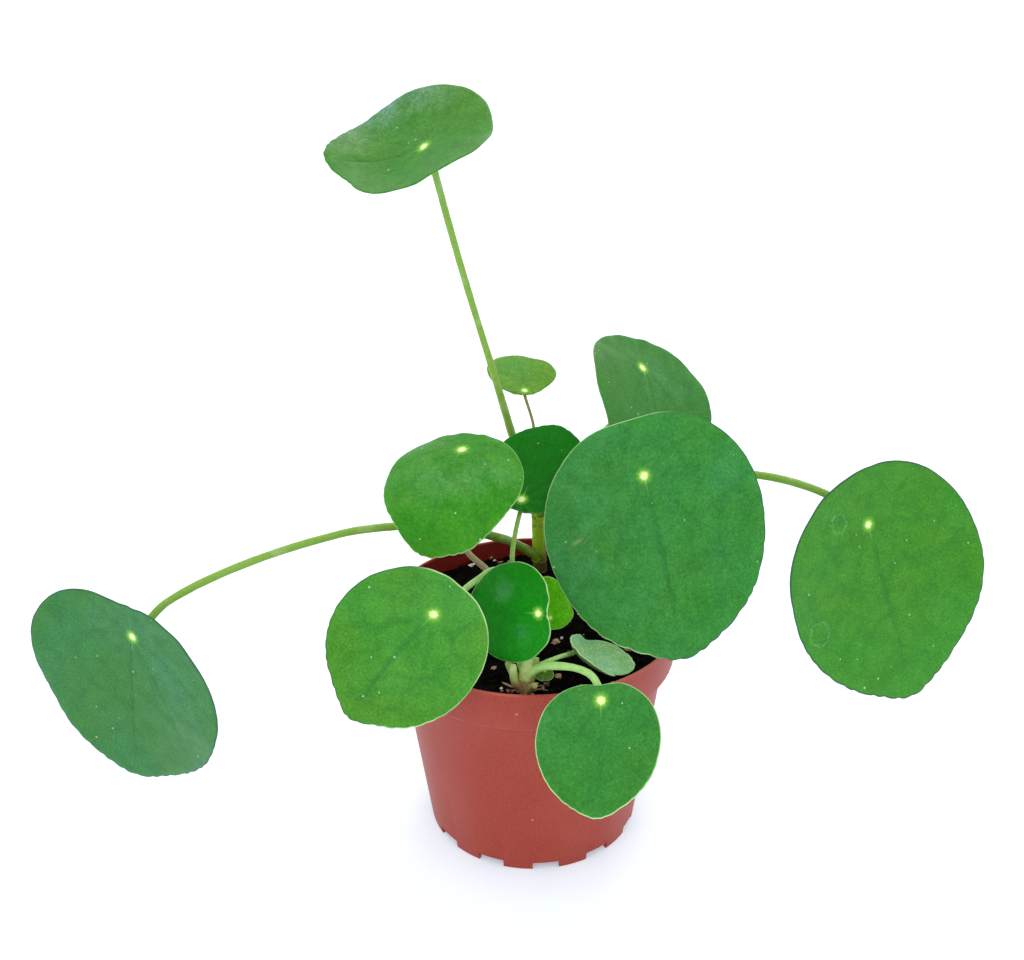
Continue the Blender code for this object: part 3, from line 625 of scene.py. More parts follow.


# Leaves, in millimetres and degrees. The navel is where the stalk meets the blade, navelAt its share of
# the length. Facing and rise aim the upper face, and turn swings the tip. The bends are over half the
# blade, at the tip, at the base and to the sides. Egg widens the base; point and notch end the outline.
# Stalk gives the radii at foot and tip, skin the colours there, and route the points it passes.
# Waves counts the teeth. Veins, edge, ribs and shine say how strong each one is; the ribs are below.
# The edge's tone is a pale painted highlight or a dark painted shade along the rim; a shaded side, where
# given, turns one side of the rim to painted shade.
# Patches of painted sheen, sky reflection and shade are x, y, reach and tone; marks are x, y and radius;
# lobes are angle, spread and swell.

leaves = [
    dict(name="top_left", navel=(-31, 15, 230), facing=-56, rise=53, turn=35, length=53, width=49.5,
         navelAt=0.425, egg=0.16, point=0.02, bends=(46, -19, 21), waves=18, stalk=(1.55, 1.1),
         skin=("olive", "green"), green=(0.045, 0.219, 0.012), veins=0.25, edge=0.0,
         patches=[(15, 26, 12, 1.2), (25, 14, 13, 1.3), (30, 3, 13, 1.35), (20, -8, 10, 1.1),
             (-5, -10, 10, -0.6), (-8, 8, 12, -0.9), (-4, 23, 9, -0.7)],
         lobes=[(258, 28, -0.17), (327, 20, -0.10), (81, 16, 0.065)],
         route=[(2, 35, 108), (-2, 33, 113), (-6.5, 29, 131.5), (-11.5, 24, 153), (-20, 19, 187),
             (-25, 17, 208), (-28, 16.5, 221)]),
    dict(name="far_left", navel=(-128, -20, 82.5), facing=-28, rise=0, turn=10, length=76, width=74,
         navelAt=0.20, egg=0.25, notch=0.04, bends=(-3, 25, 10), twist=0.08, waves=20, stalk=(1.7, 1.3),
         skin=("olive", "green"), green=(0.031, 0.184, 0.033), veins=0.45, edge=0.85, edgeTone="dark",
         patches=[(14, 0, 7, 0.4), (5, -3, 7, 0.45), (-5, -2, 7, 0.45), (-12, 5, 7, 0.45),
             (-19, 13, 8, 0.4), (-24, 24, 9, 0.3), (10, 20, 14, -0.35)],
         lobes=[(90, 35, 0.07), (167, 16, -0.19), (220, 34, -0.13)],
         route=[(2, 36, 80), (-3, 33, 85), (-10, 28, 91.5), (-31, 17, 102.5), (-47, 9, 106.5),
             (-63, 3, 107), (-93, -5, 100.5), (-118, -11, 90)]),
    dict(name="upper_left", navel=(-21, -12, 144), facing=-37, rise=79, turn=-14, length=45, width=44,
         navelAt=0.21, egg=0.23, point=0.09, bends=(-35, 3, -27), twist=0.12, waves=18, stalk=(1.5, 1.0),
         skin=("tan", "tan"), green=(0.035, 0.239, 0.005), shine=0.16, veins=0.2, edge=0.5,
         patches=[(5, 15, 12, 1.07), (-7, 9, 9, 1.08), (-17, 6, 6, 1.05), (4, 30, 9, -0.7),
             (15, -3, 7, -0.6), (-3, -3, 6, -0.5)],
         lobes=[(18, 16, 0.05), (340, 20, -0.02), (0, 20, 0)],
         route=[(0, 1, 68), (-0.5, 1, 75), (-3, 0.5, 81), (-7, 0, 86), (-15, -1, 96), (-21, -3, 104),
             (-24, -6, 116), (-23, -10, 133)]),
    dict(name="lower_left", navel=(-29, -45, 106), facing=2, rise=8, turn=45, length=49.5, width=48,
         navelAt=0.24, egg=0.04, point=0.12, bends=(28, 2, 16), twist=-0.05, waves=18, stalk=(1.2, 1.0),
         skin=("pale", "pale"), green=(0.057, 0.268, 0.016), veins=1.0, edge=0.9, darkSide=(0.9, 0.45),
         patches=[(-2, -8, 8, 0.3), (-3, 27, 12, 0.35), (25, 9, 9, -0.3)],
         lobes=[(185, 60, 0.06), (336, 37, 0.08), (344, 60, -0.07)],
         route=[(-2, -38.3, 79), (-4, -34, 83), (-5.5, -29, 89), (-6.8, -23.5, 95), (-7.9, -18.5, 100),
             (-10.2, -16.3, 104), (-13, -17.3, 104.6), (-16.2, -19, 103.1), (-19.3, -21, 101.7),
             (-21.5, -25, 101.8), (-24.3, -33, 103), (-27, -40, 104.8)]),
    dict(name="middle", navel=(2, -40, 103), facing=-38, rise=24, turn=73, length=32.5, width=31.5,
         navelAt=0.15, egg=0.03, notch=0.05, bends=(-4, 3, -23), twist=-0.03, waves=14, stalk=(1.0, 0.8),
         skin=("pale", "pale"), green=(0.004, 0.216, 0.003), shine=0.10, veins=0.1, edge=0.8,
         patches=[(6.1, 13.5, 4.4, 1.12), (-6.1, 6.3, 4.2, 1.08), (0, 14, 8, -0.25)],
         lobes=[(201, 13, 0.11), (177, 16, -0.11), (179, 14, -0.11)],
         route=[(-1, -38, 85), (2, -35.5, 90), (4.5, -36, 97)]),
    dict(name="inner_dark", navel=(-3, -3, 122.5), facing=-8, rise=66, turn=194, length=35, width=34,
         navelAt=0.14, egg=0.06, bends=(6, 0, 1), twist=0.09, waves=14, stalk=(1.0, 0.75),
         skin=("pale", "green"), green=(0.003, 0.154, 0.002), shine=0.10, veins=0.1, edge=0.15,
         patches=[(0, 14, 20, -0.5)],
         lobes=[(316, 51, 0.02), (146, 45, -0.03), (169, 13, 0.10)],
         route=[(-1, -38, 82), (-1.5, -34, 86.5), (-3.5, -27, 95), (-5, -22, 103), (-6, -18, 109.5),
             (-5, -12, 115.5)]),
    dict(name="top_small", navel=(-2, 33, 145), facing=14, rise=77, turn=-173, length=25, width=24,
         navelAt=0.10, egg=0.06, bends=(-3, -2, 16), twist=-0.04, waves=12, stalk=(0.8, 0.5),
         skin=("olive", "brown"), green=(0.092, 0.265, 0.003), shine=0.10, veins=0.1, edge=0.1,
         patches=[(-2.6, 13, 9, -0.9), (-2, 27, 4.5, 1.15), (9, 20, 4, 0.7), (-10, 20, 4, 0.7)],
         lobes=[(142, 20, -0.20), (215, 32, -0.11), (0, 20, 0)],
         route=[(2, 35, 110), (1.5, 31.5, 115), (1, 32, 132)]),
    dict(name="upper_right", navel=(37.5, 39, 150.5), facing=59, rise=48, turn=32, length=52, width=50,
         navelAt=0.26, egg=0.05, bends=(-18, -3, 11), waves=18, stalk=(1.4, 1.0), skin=("olive", "green"),
         green=(0.034, 0.194, 0.019), veins=0.35, edge=0.2,
         patches=[(23, -6, 8, 0.7), (14, -5, 7, 0.6), (5, -4, 5, 0.5), (-4.5, -2, 6, 0.6),
             (-11, 8, 8, 0.7), (26, 14, 8, -0.5), (8, 8, 8, -0.3), (-3, -11, 6, -0.5)],
         lobes=[(233, 43, 0.04), (124, 28, 0.08), (54, 13, 0.11)],
         route=[(2, 35, 107), (6, 37.5, 110.5), (15, 41, 118), (29, 44, 129), (35, 42, 141)]),
    dict(name="large_right", navel=(35, -10, 134), facing=-23, rise=28, turn=-25, length=75.5, width=71.5,
         navelAt=0.26, egg=0.05, point=0.07, notch=0.03, bends=(11, 5, 22), twist=-0.10, waves=20,
         stalk=(1.7, 1.3), skin=("olive", "green"), green=(0.028, 0.224, 0.027), veins=0.7, edge=0.7,
         darkSide=(-1.0, 0.25), scar=(25.6, 14.7),
         patches=[(26, -6, 12, 0.45), (30, 19, 13, 0.5), (11, -15, 9, 0.35), (18, 8, 10, 0.4),
             (-25, 8, 10, 0.4), (-18, 31, 9, 0.25), (-3, -18, 6, -0.3), (-8, 44, 8, -0.4)],
         lobes=[(8, 51, -0.01), (150, 13, 0.02), (151, 50, -0.02)],
         route=[(2, 35.5, 97), (6, 32.5, 101), (17, 21, 115), (28, 2, 128)]),
    dict(name="far_right", navel=(107, -5, 114), facing=27, rise=17, turn=-10, length=77, width=74.5,
         navelAt=0.25, egg=0.09, point=0.08, notch=0.01, bends=(2, 22, 13), twist=-0.09, waves=20,
         stalk=(1.7, 1.3), skin=("olive", "green"), green=(0.041, 0.238, 0.010), veins=0.6, edge=0.9,
         edgeTone="dark", ribs=0.0, marks=[(11.4, -5.0, 3.0), (28.5, 26.0, 3.8)],
         patches=[(-29, 13, 8, 0.45), (-18, 34, 8, 0.4), (34, -3, 9, -0.25)],
         lobes=[(116, 16, 0.06), (130, 48, -0.04), (333, 20, 0.025)],
         route=[(2, 35.5, 101), (7, 37, 103), (24, 32, 110), (49, 21, 118.5), (73, 10, 124.5),
             (94, 1, 122)]),
    dict(name="inner_small", navel=(6, -12, 84), facing=28, rise=43, turn=-165, length=18, width=17.5,
         navelAt=0.26, egg=0.06, bends=(7, 1, -20), twist=-0.1, waves=10, stalk=(0.7, 0.6),
         skin=("pale", "green"), green=(0.130, 0.566, 0.002), shine=0.08, veins=0.15, edge=0.7,
         lobes=[(108, 14, 0.11), (175, 38, -0.11), (73, 18, -0.11)],
         route=[(7.5, -2, 70), (7.5, -2, 75), (7.5, -5, 79.5)]),
    # this leaf's pale grey-green is a painted sheen over the whole blade
    dict(name="front_cupped", navel=(14, -28, 82), facing=100, rise=39, turn=15, length=23.5, width=23,
         navelAt=0.16, egg=0.04, bends=(39, 69, 37), twist=-0.1, waves=10, stalk=(0.8, 0.7),
         skin=("pale", "pale"), green=(0.252, 0.540, 0.236), veins=0.1, edge=0.8,
         lobes=[(225, 53, 0.14), (47, 17, -0.19), (242, 14, -0.20)],
         route=[(-1.5, -38, 80), (3, -36.5, 82.5), (9, -33, 83)]),
    dict(name="front_low", navel=(20, -62, 87), facing=-25, rise=41, turn=-16, length=39, width=38,
         navelAt=0.16, egg=0.11, point=0.06, notch=0.06, bends=(9, -2, 14), twist=-0.06, waves=16,
         stalk=(1.5, 1.1), skin=("pale", "pale"), green=(0.028, 0.218, 0.022), veins=0.25, edge=0.9,
         patches=[(5, 0, 6, 0.3), (7, 23, 8, -0.2), (18, 8, 6, 0.3)],
         lobes=[(169, 18, -0.11), (75, 60, 0.02), (230, 51, -0.05)],
         route=[(-1.5, -38.5, 80), (2.4, -40, 83.6), (6.3, -42.5, 85.9), (11.4, -46, 87.8),
             (15, -49.5, 89), (17.7, -53, 89.3), (19.3, -56.3, 88.2)]),
    dict(name="crown_small", navel=(4, -35, 79), facing=5, rise=48, turn=18, length=6.6, width=6.4,
         navelAt=0.39, egg=0.07, bends=(4, 4, 4), waves=6, stalk=(0.5, 0.45), skin=("pale", "green"),
         green=(0.075, 0.180, 0.010), veins=0.1, edge=0.4,
         lobes=[(348, 39, -0.20), (241, 21, -0.20), (148, 60, 0.20)],
         route=[(-1.5, -38.3, 76.8), (2.5, -34.6, 76.9)]),
]
usualLeaf = {"point": 0.05, "notch": 0.02, "twist": 0.0, "edgeTone": "pale", "shine": 0.22, "ribs": 1.0,
             "patches": [], "marks": []}
blade = {"thick": 0.75, "thinThick": 0.55, "largeLeaf": 40.0, "sides": 320, "rings": 26,
         "wave": 0.5, "tooth": 0.0048, "smallTooth": 0.0034, "dimple": 0.20, "groove": 0.07, "puff": 0.07,
         "rib": 0.32, "ripple": 0.16, "veinAngle": 0.72, "veinArch": 0.35}


def veinField(across, towards, half):
    # Distance in millimetres to the nearest main vein, which vein it is, and the way from the navel.
    # The veins spread from the navel at even angles and arch towards the tip.
    run = distance(across, towards)
    angle = abs(across.math("ARCTAN2", towards))
    count = (angle + (run / half) * angle.math("SINE") * blade["veinArch"]) / blade["veinAngle"]
    number = count.math("ROUND")
    return abs(count - number) * run * blade["veinAngle"], number, run


def bladeTree():
    growth = Growth("blade", Int=["Sides", "Rings"], Vector=["Lobe 1", "Lobe 2", "Lobe 3"],
                    Float=["Length", "Width", "Navel At", "Egg", "Point", "Notch", "Tip Curl", "Base Curl",
                           "Side Curl", "Twist", "Wave", "Ripple", "Teeth", "Tooth", "Thick", "Relief",
                           "Seed"])
    length, width = growth["Length"], growth["Width"]
    half, seed = length * 0.5, growth["Seed"]
    sheet = growth.geo("MeshGrid", {0: 1.0, 1: 1.0, 2: growth["Sides"], 3: growth["Rings"]})
    # one sheet runs from the navel over the edge and back under the blade
    turn, fold, _ = growth.position().split()
    angle = (turn + 0.5) * math.tau
    under = fold.smooth(-0.02, 0.02)
    share = 1.0 - (abs(fold) * 2.0) ** 1.8
    sine, cosine = angle.math("SINE"), angle.math("COSINE")

    # the edge of the blade, measured from the navel; angle 0 is the tip
    offTip = math.pi - abs(angle - math.pi)
    point = offTip.bell(0.30) * growth["Point"]
    notch = (math.pi - offTip).bell(0.22) * growth["Notch"]
    ring = growth.join(sine, cosine, seed)
    uneven = (growth.grain(ring, 1.6, 2.0) - 0.5) * 0.022
    beat = growth.grain(ring, 3.0, 1.0) * 6.0
    tooth = abs((angle * growth["Teeth"] + beat).math("SINE")) - 0.6
    tooth = tooth * (cosine + 0.9).math("MAXIMUM", 0.4) * growth["Tooth"]
    edge = (uneven * share ** 2.0 + tooth * share ** 10.0 + 1.0) * share
    for label in ("Lobe 1", "Lobe 2", "Lobe 3"):
        # a lobe or dent: its angle, how far it spreads, and how far it stands out
        middle, spread, swell = growth[label].split()
        off = math.pi - abs(abs(angle - middle) - math.pi)
        edge = edge * (off.bell(spread) * swell * share ** 2.0 + 1.0)
    across = width * 0.5 * sine * (1.0 - growth["Egg"] * cosine) * edge
    towards = (half * (cosine + point + notch + 1.0) - growth["Navel At"] * length) * edge
    sheet = growth.store(sheet, "blade", growth.join(across / mm, towards / mm, share), "FLOAT_VECTOR")
    sheet = growth.store(sheet, "under", under)

    # the blade rolls away from its tangent plane at the navel
    tipSide = towards.math("GREATER_THAN", 0.0)
    baseCurl = growth["Base Curl"]
    curl = baseCurl + (growth["Tip Curl"] - baseCurl) * tipSide
    sideCurl = growth["Side Curl"]
    run = distance(across, towards)
    compass = across.math("ARCTAN2", towards)
    wave = (run / half) ** 3.0 * (compass * 5.0).math("SINE") * growth["Wave"]
    ripple = (compass * 9.0 + seed).math("SINE") + (compass * 14.0 + seed * 2.0).math("SINE") * 0.6
    ripple = ripple * share ** 5.0 * growth["Ripple"]
    lift = (1.0 - (curl * towards).math("COSINE")) / curl
    lift = lift + (1.0 - (sideCurl * across).math("COSINE")) / sideCurl
    lift = lift + growth["Twist"] * across * towards / half + wave + ripple
    apart = (0.5 - under) * (1.0 - share) * 0.2 * mm
    flat = growth.join((sideCurl * across).math("SINE") / sideCurl, (curl * towards).math("SINE") / curl,
                       lift + apart)
    sheet = growth.merged(growth.moved(sheet, "Position", flat), 0.0005 * mm)

    # thickness, the dimple over the stalk, sunken veins above and ribs below
    across, towards, share = growth.named("blade", "FLOAT_VECTOR").split()
    under = growth.named("under")
    reach, number, run = veinField(across, towards, half / mm)
    strength = share.smooth(1.0, 0.55) / (number * 0.45 + 1.0)
    groove = reach.smooth(1.1, 0.0) * strength
    puff = reach.smooth(0.0, 4.0) * share.smooth(1.0, 0.7)
    dimple = run.bell(1.9)
    upper = puff * blade["puff"] - groove * blade["groove"] - dimple * blade["dimple"]
    lower = groove * blade["rib"] + dimple * 0.5
    relief = (upper * (1.0 - under) + lower * under) * growth["Relief"] * mm
    thick = growth["Thick"] * 0.5 * (1.0 - share ** 36.0).math("MAXIMUM", 0.0) ** 0.5
    outward = growth.scaled(growth.geo("InputNormal"), thick + relief)
    return growth.end(growth.moved(sheet, "Offset", outward))


# some of these colours are painted light: a sheen, a sky reflection and a shade for the soft patches, and a
# pale highlight and a dark shade for the rim
leafLook = {"navel": (0.80, 0.92, 0.38), "halo": (0.20, 0.52, 0.03), "pale": (0.52, 0.74, 0.34),
            "dark": (0.028, 0.085, 0.050), "under": (0.17, 0.34, 0.12), "dust": (0.55, 0.72, 0.52),
            "bloom": (0.19, 0.36, 0.21), "scar": (0.27, 0.30, 0.12), "cool": (1.40, 1.08, 2.1),
            "deep": (0.50, 0.96, 0.22), "blotch": (0.72, 0.86, 0.74), "pit": (0.46, 0.73, 0.46),
            "bead": (1.95, 1.32, 1.95), "vein": (0.42, 0.70, 0.85), "veinStart": (0.22, 0.45, 0.13),
            "underPale": (0.22, 0.40, 0.15), "rib": (0.34, 0.50, 0.22), "paleEdge": 0.45, "darkEdge": 0.85}


def leafFinish(leaf, seed):
    # Satin leaf skin: the leaf's green in cooler and warmer clouds, soft patches of painted sheen, sky
    # reflection and shade, blotches and fine grain, blurred darker veins, a bright navel, a thin edge of
    # painted highlight or shade, white specks and dried water marks
    look, (red, green, blue) = leafLook, leaf["green"]
    finish = Finish("leafSkin_" + leaf["name"], (red * 0.92, green * 1.02, blue * 1.16))
    data = finish.node("ShaderNodeAttribute", out="Vector", attribute_name="blade")
    under = finish.node("ShaderNodeAttribute", out="Fac", attribute_name="under")
    across, towards, share = data.split()
    half, large, veins = 0.5 * leaf["length"], min(1.0, leaf["length"] / blade["largeLeaf"]), leaf["veins"]
    spot = finish.join(across, towards, seed * 7.3)

    cloud = finish.grain(spot, 0.045 / large, 2.0)
    finish.paint(cloud.smooth(0.36, 0.64), (red * 1.12, green * 0.99, blue * 0.82))
    patch = finish.grain(spot, 0.15, 5.0, 0.65)
    # soft clouds of painted light: a cool painted sky reflection (tone up to 1), with a pale painted sheen
    # over it (above 1), or painted shade of clear deep green (below 0)
    for x, y, reach, tone in leaf["patches"]:
        far = distance(across - x, towards - y) / reach + (patch - 0.5) * 1.2
        patchLight = far.smooth(1.25, 0.0)
        if tone > 1.0:
            finish.paint(patchLight * (tone - 1.0), look["bloom"])
        if tone > 0.0:
            finish.tint(patchLight * min(tone, 1.0), look["cool"])
        else:
            finish.tint(patchLight * -tone, look["deep"])
    finish.tint(patch.smooth(0.38, 0.66), look["blotch"])
    pebble = finish.grain(spot, 1.3, 4.0, 0.75)
    finish.tint(pebble.smooth(0.50, 0.32), look["pit"])
    finish.tint(pebble.smooth(0.50, 0.70), look["bead"])

    # veins: soft dark lines, pale for the first few millimetres out of the navel
    reach, number, run = veinField(across, towards, half)
    shiftX = finish.grain(spot, 0.22, 3.0) * 7.0 - 3.5
    weight = share.smooth(1.02, 0.5) / (number * 0.9 + 1.0)
    line = abs(reach + shiftX * 0.25).smooth(2.0 * large, 0.0) * weight * run.smooth(1.5, 7.0)
    bent = finish.join(across + shiftX, towards + shiftX * 0.7, seed * 3.1)
    net = finish.node("ShaderNodeTexVoronoi", {"Vector": bent, "Scale": 0.10}, feature="DISTANCE_TO_EDGE")
    web = net.smooth(0.14, 0.0) * share.smooth(1.0, 0.8) * run.smooth(2.0, 8.0)
    dark = (line * 0.8 + web * 0.45).math("MINIMUM", 1.0) * (0.25 + 0.6 * veins)
    finish.tint(dark, look["vein"])
    start = reach.smooth(0.36, 0.08) * run.smooth(8.0 * large, 1.5)
    start = start * number.smooth(0.6, 0.4) * towards.smooth(0.0, 1.0)
    finish.paint(start * 0.4, look["veinStart"])

    # specks, and the marks that drying drops leave
    dot, chance, size, _ = finish.cells(spot, 0.34)
    speck = dot.smooth(0.07 + size * 0.11, 0.03) * chance.smooth(0.79, 0.80)
    finish.paint(speck * 0.75, look["dust"])
    for x, y, radius in leaf["marks"]:
        brim = abs(distance(across - x, towards - y) - radius) + (patch - 0.5) * 1.5
        ring = brim.smooth(0.8, 0.1) * pebble.smooth(0.42, 0.62)
        finish.paint(ring * 0.17, look["dust"])
    if "scar" in leaf:
        aside, ahead = across - leaf["scar"][0], towards - leaf["scar"][1]
        long, thin = aside * 0.95 + ahead * 0.32, aside * 0.32 - ahead * 0.95
        far = (long * long * 0.10 + thin * thin) ** 0.5 + (pebble - 0.5) * 1.2
        finish.paint(far.smooth(0.9, 0.2) * 0.55, look["scar"])

    # the thin edge, stronger in some stretches: a pale painted highlight or a dark painted shade along the
    # rim, turning to painted shade on a leaf's shaded side
    inward = (1.0 - share) * run / share.math("MAXIMUM", 0.01)
    stretch = finish.grain(spot, 0.07, 2.0).smooth(0.30, 0.60) * 0.5 + 0.5
    width = look[leaf["edgeTone"] + "Edge"]
    edge = inward.smooth(width, 0.3 * width) * stretch * leaf["edge"]
    rim = look[leaf["edgeTone"]]
    if "darkSide" in leaf:
        x, y = leaf["darkSide"]
        rim = finish.blend((across * x + towards * y).smooth(2.0, 12.0), rim, look["dark"])
    finish.paint(edge, rim)

    # the navel: a pale core in a soft yellow-green halo
    blur = (finish.grain(spot, 1.3, 2.0) - 0.5) * 1.4 - reach.smooth(0.5, 0.0) * 0.3 * leaf["ribs"]
    halo = (run + blur).smooth(3.2 * large, 0.9 * large)
    core = (run + blur * 0.6).smooth(1.75 * large, 0.5 * large)
    finish.paint(halo * 0.80, look["halo"])
    finish.paint(core * 0.95, look["navel"])

    # the paler underside, and its ribs
    pale = finish.blend(pebble.smooth(0.35, 0.7), look["under"], look["underPale"])
    pale = finish.blend(reach.smooth(0.6, 0.1) * weight * (0.6 * leaf["ribs"]), pale, look["rib"])
    finish.paint(under.smooth(0.45, 0.55) * inward.smooth(0.0, 0.25), pale)

    height = pebble * 0.12 - line * 0.25 + patch * 0.5 + net.smooth(0.0, 0.2) * 0.15
    return finish.done(0.32 + patch * 0.18 + under * 0.2, leaf["shine"], (height, 0.5, 0.5))


def leafAxes(leaf):
    facing, rise, turn = (math.radians(leaf[key]) for key in ("facing", "rise", "turn"))
    face = Vector((math.sin(facing) * math.cos(rise), -math.cos(facing) * math.cos(rise), math.sin(rise)))
    downhill = (Vector((0.0, 0.0, -1.0)) + face * face.z).normalized()
    tip = downhill * math.cos(turn) + downhill.cross(face) * math.sin(turn)
    return tip.cross(face), tip, face


def makeLeaves(bladeGrowth, stalkGrowth):
    skins = {}
    for seed, own in enumerate(leaves):
        leaf = {**usualLeaf, **own}
        name, large = leaf["name"], leaf["length"] >= blade["largeLeaf"]
        across, tip, face = leafAxes(leaf)
        navel = Vector(leaf["navel"])
        place = Matrix((across, tip, face)).transposed().to_4x4()
        place.translation = navel * mm
        half = 0.5 * leaf["length"] * mm
        tipCurl, baseCurl, sideCurl = ((math.radians(bend) or 0.001) / half for bend in leaf["bends"])
        small = min(1.0, leaf["length"] / 30.0)
        lobes = {"Lobe %d" % (k + 1): (math.radians(at) % math.tau, math.radians(spread), swell)
                 for k, (at, spread, swell) in enumerate(leaf["lobes"])}
        piece = bladeGrowth.grow(
            "blade_" + name, bpy.data.meshes.new(name), leafFinish(leaf, seed + 1), place,
            Sides=int(blade["sides"] * small ** 0.5) + 1, Rings=2 * int(blade["rings"] * small ** 0.5) + 1,
            Length=leaf["length"] * mm, Width=leaf["width"] * mm, Navel_At=leaf["navelAt"],
            Egg=leaf["egg"], Point=leaf["point"], Notch=leaf["notch"], Tip_Curl=tipCurl,
            Base_Curl=baseCurl, Side_Curl=sideCurl, Twist=leaf["twist"],
            Wave=blade["wave"] * mm if large else 0.0, Ripple=blade["ripple"] * mm * small,
            Teeth=float(leaf["waves"]), Tooth=blade["tooth"] if large else blade["smallTooth"],
            Thick=(blade["thick"] if large else blade["thinThick"]) * mm, Relief=small,
            Seed=seed * 3.7, **lobes)
        placed(piece, "blade", "leaf_" + name)

        footRadius, tipRadius = leaf["stalk"]
        route = [Vector(point) for point in leaf["route"]]
        route += [navel - face * (0.8 + 1.3 * tipRadius), navel - face * 0.15]
        if leaf["skin"] not in skins:
            shades = (stalkLook[shade] for shade in leaf["skin"])
            skins[leaf["skin"]] = stalkFinish("stalkSkin_" + "_".join(leaf["skin"]), *shades)
        piece = growStalks(stalkGrowth, "stalk_" + name, [smoothPath(route, 0.5)], skins[leaf["skin"]],
                           leaf["stalk"], stalkLook["flares"], lumps=stalkLook["lumps"] * footRadius,
                           seed=float(seed), step=stalkLook["step"])
        placed(piece, "petiole", "petiole_" + name)


# Soil

bits = {
    "peat": dict(density=230000.0, size=(0.6, 2.2), flat=0.75, detail=1, seed=4,
                 colours=((0.0012, 0.0010, 0.0009), (0.008, 0.005, 0.003))),
    "bark": dict(density=6500.0, size=(0.7, 2.4), flat=0.45, detail=2, seed=11,
                 colours=((0.14, 0.065, 0.028), (0.62, 0.40, 0.24)),
                 spots=[(-15.2, 46.0, 2.4), (-11.5, 41.9, 2.2), (-10, 38.9, 1.8), (-12.1, -27, 2.6),
                        (7.9, -12, 3.2), (8.2, -31.5, 2.6), (31.2, -15.1, 3.4), (-6.9, -38.9, 2.6),
                        (-5.6, -35.8, 2.0), (3.2, -37.5, 2.6), (4.6, -34.9, 2.4), (-1.5, -42.2, 2.0)]),
    "perlite": dict(density=4200.0, size=(0.4, 1.3), flat=0.8, detail=2, seed=23,
                    colours=((0.66, 0.62, 0.56), (0.92, 0.91, 0.87)),
                    spots=[(-21.5, 38.3, 1.9), (9.8, -9.6, 1.6), (-9.7, -37.4, 1.4), (25.7, -33.2, 1.6),
                           (-13.5, 44.2, 1.5)]),
}


def soilHeight(x, y):
    spot = Vector((x, y, 0.0)) / soil["crumb"]
    crumbs = max(-1.0, min(1.0, noise.fractal(spot, 0.9, 2.1, 2, noise_basis="PERLIN_ORIGINAL")))
    # calmer close to the stems
    calm, (near, reach, least) = 1.0, soil["calm"]
    for stem in stems.values():
        apart = math.hypot(x - stem["foot"][0], y - stem["foot"][1])
        calm = min(calm, max(least, (apart - near) / reach))
    mound = 1.0 - (x * x + y * y) / innerRadius(soil["level"]) ** 2
    return soil["level"] + soil["mound"] * (mound - 0.5) + soil["relief"] * calm * crumbs


def crumbHeight(x, y):
    # Rounded lumps of two sizes on the broad shape
    height = soilHeight(x, y)
    for size, rise, shift in soil["lumps"]:
        height += rise * (0.45 - noise.voronoi(Vector((x / size, y / size, shift)))[0][0])
    return height


def soilFinish():
    finish = Finish("pottingSoil", soil["damp"])
    place = finish.place()
    lump = finish.grain(place, 320.0, 5.0, 0.65)
    grit = finish.grain(place, 1600.0, 4.0, 0.7)
    finish.paint(lump.smooth(0.35, 0.65), soil["colour"])
    finish.paint(grit.smooth(0.60, 0.78) * 0.7, soil["fibre"])
    return finish.done(0.9, 0.03, (grit * 0.6 + lump * 0.4, 0.8, 1.0))


def chipFinish(name, dark, pale):
    finish = Finish(name, dark)
    place = finish.place()
    broad = finish.grain(place, 260.0, 2.0)
    fine = finish.grain(place, 1500.0, 4.0, 0.65)
    finish.paint((broad * 0.6 + fine * 0.4).smooth(0.38, 0.62), pale)
    return finish.done(0.85, 0.05, (fine, 0.3, 0.8))


def chipTree():
    # Rough little lumps scattered over the faces that look up
    growth = Growth("chips", Float=["Density", "Least", "Most", "Flat", "Edge"], Int=["Detail", "Seed"])
    seed = growth["Seed"]
    _, _, up = growth.geo("InputNormal").split()
    x, y, height = growth.position().split()
    inner = distance(x, y).math("LESS_THAN", growth["Edge"])
    top = up.math("GREATER_THAN", 0.2) * inner * height.math("GREATER_THAN", (soil["level"] - 5.0) * mm)
    values = {0: growth["Geometry"], "Selection": top, "Density": growth["Density"], "Seed": seed}
    spots = growth.geo("DistributePointsOnFaces", values)
    lump = growth.geo("MeshIcoSphere", {"Radius": 0.5, "Subdivisions": growth["Detail"]})
    shape = growth.grain(growth.position(), 2.4, 2.0, 0.6)
    body = growth.moved(lump, "Position", growth.scaled(growth.position(), shape * 1.7 + 0.15))

    def chance(shift, low, high, kind="FLOAT"):
        # sockets 0 and 1 are the range of a vector, 2 and 3 that of a number
        first = 0 if kind == "FLOAT_VECTOR" else 2
        values = {first: low, first + 1: high, "Seed": seed + shift}
        return growth.node("FunctionNodeRandomValue", values, out=first // 2, data_type=kind)

    turn = chance(1.0, (0.0, 0.0, 0.0), (math.tau,) * 3, "FLOAT_VECTOR")
    size = growth["Least"] + (growth["Most"] - growth["Least"]) * chance(2.0, 0.0, 1.0) ** 2.5
    scale = growth.join(size * chance(3.0, 0.7, 1.5), size, size * growth["Flat"])
    values = {"Points": spots, "Instance": body, "Rotation": turn, "Scale": scale}
    return growth.end(growth.geo("InstanceOnPoints", values))


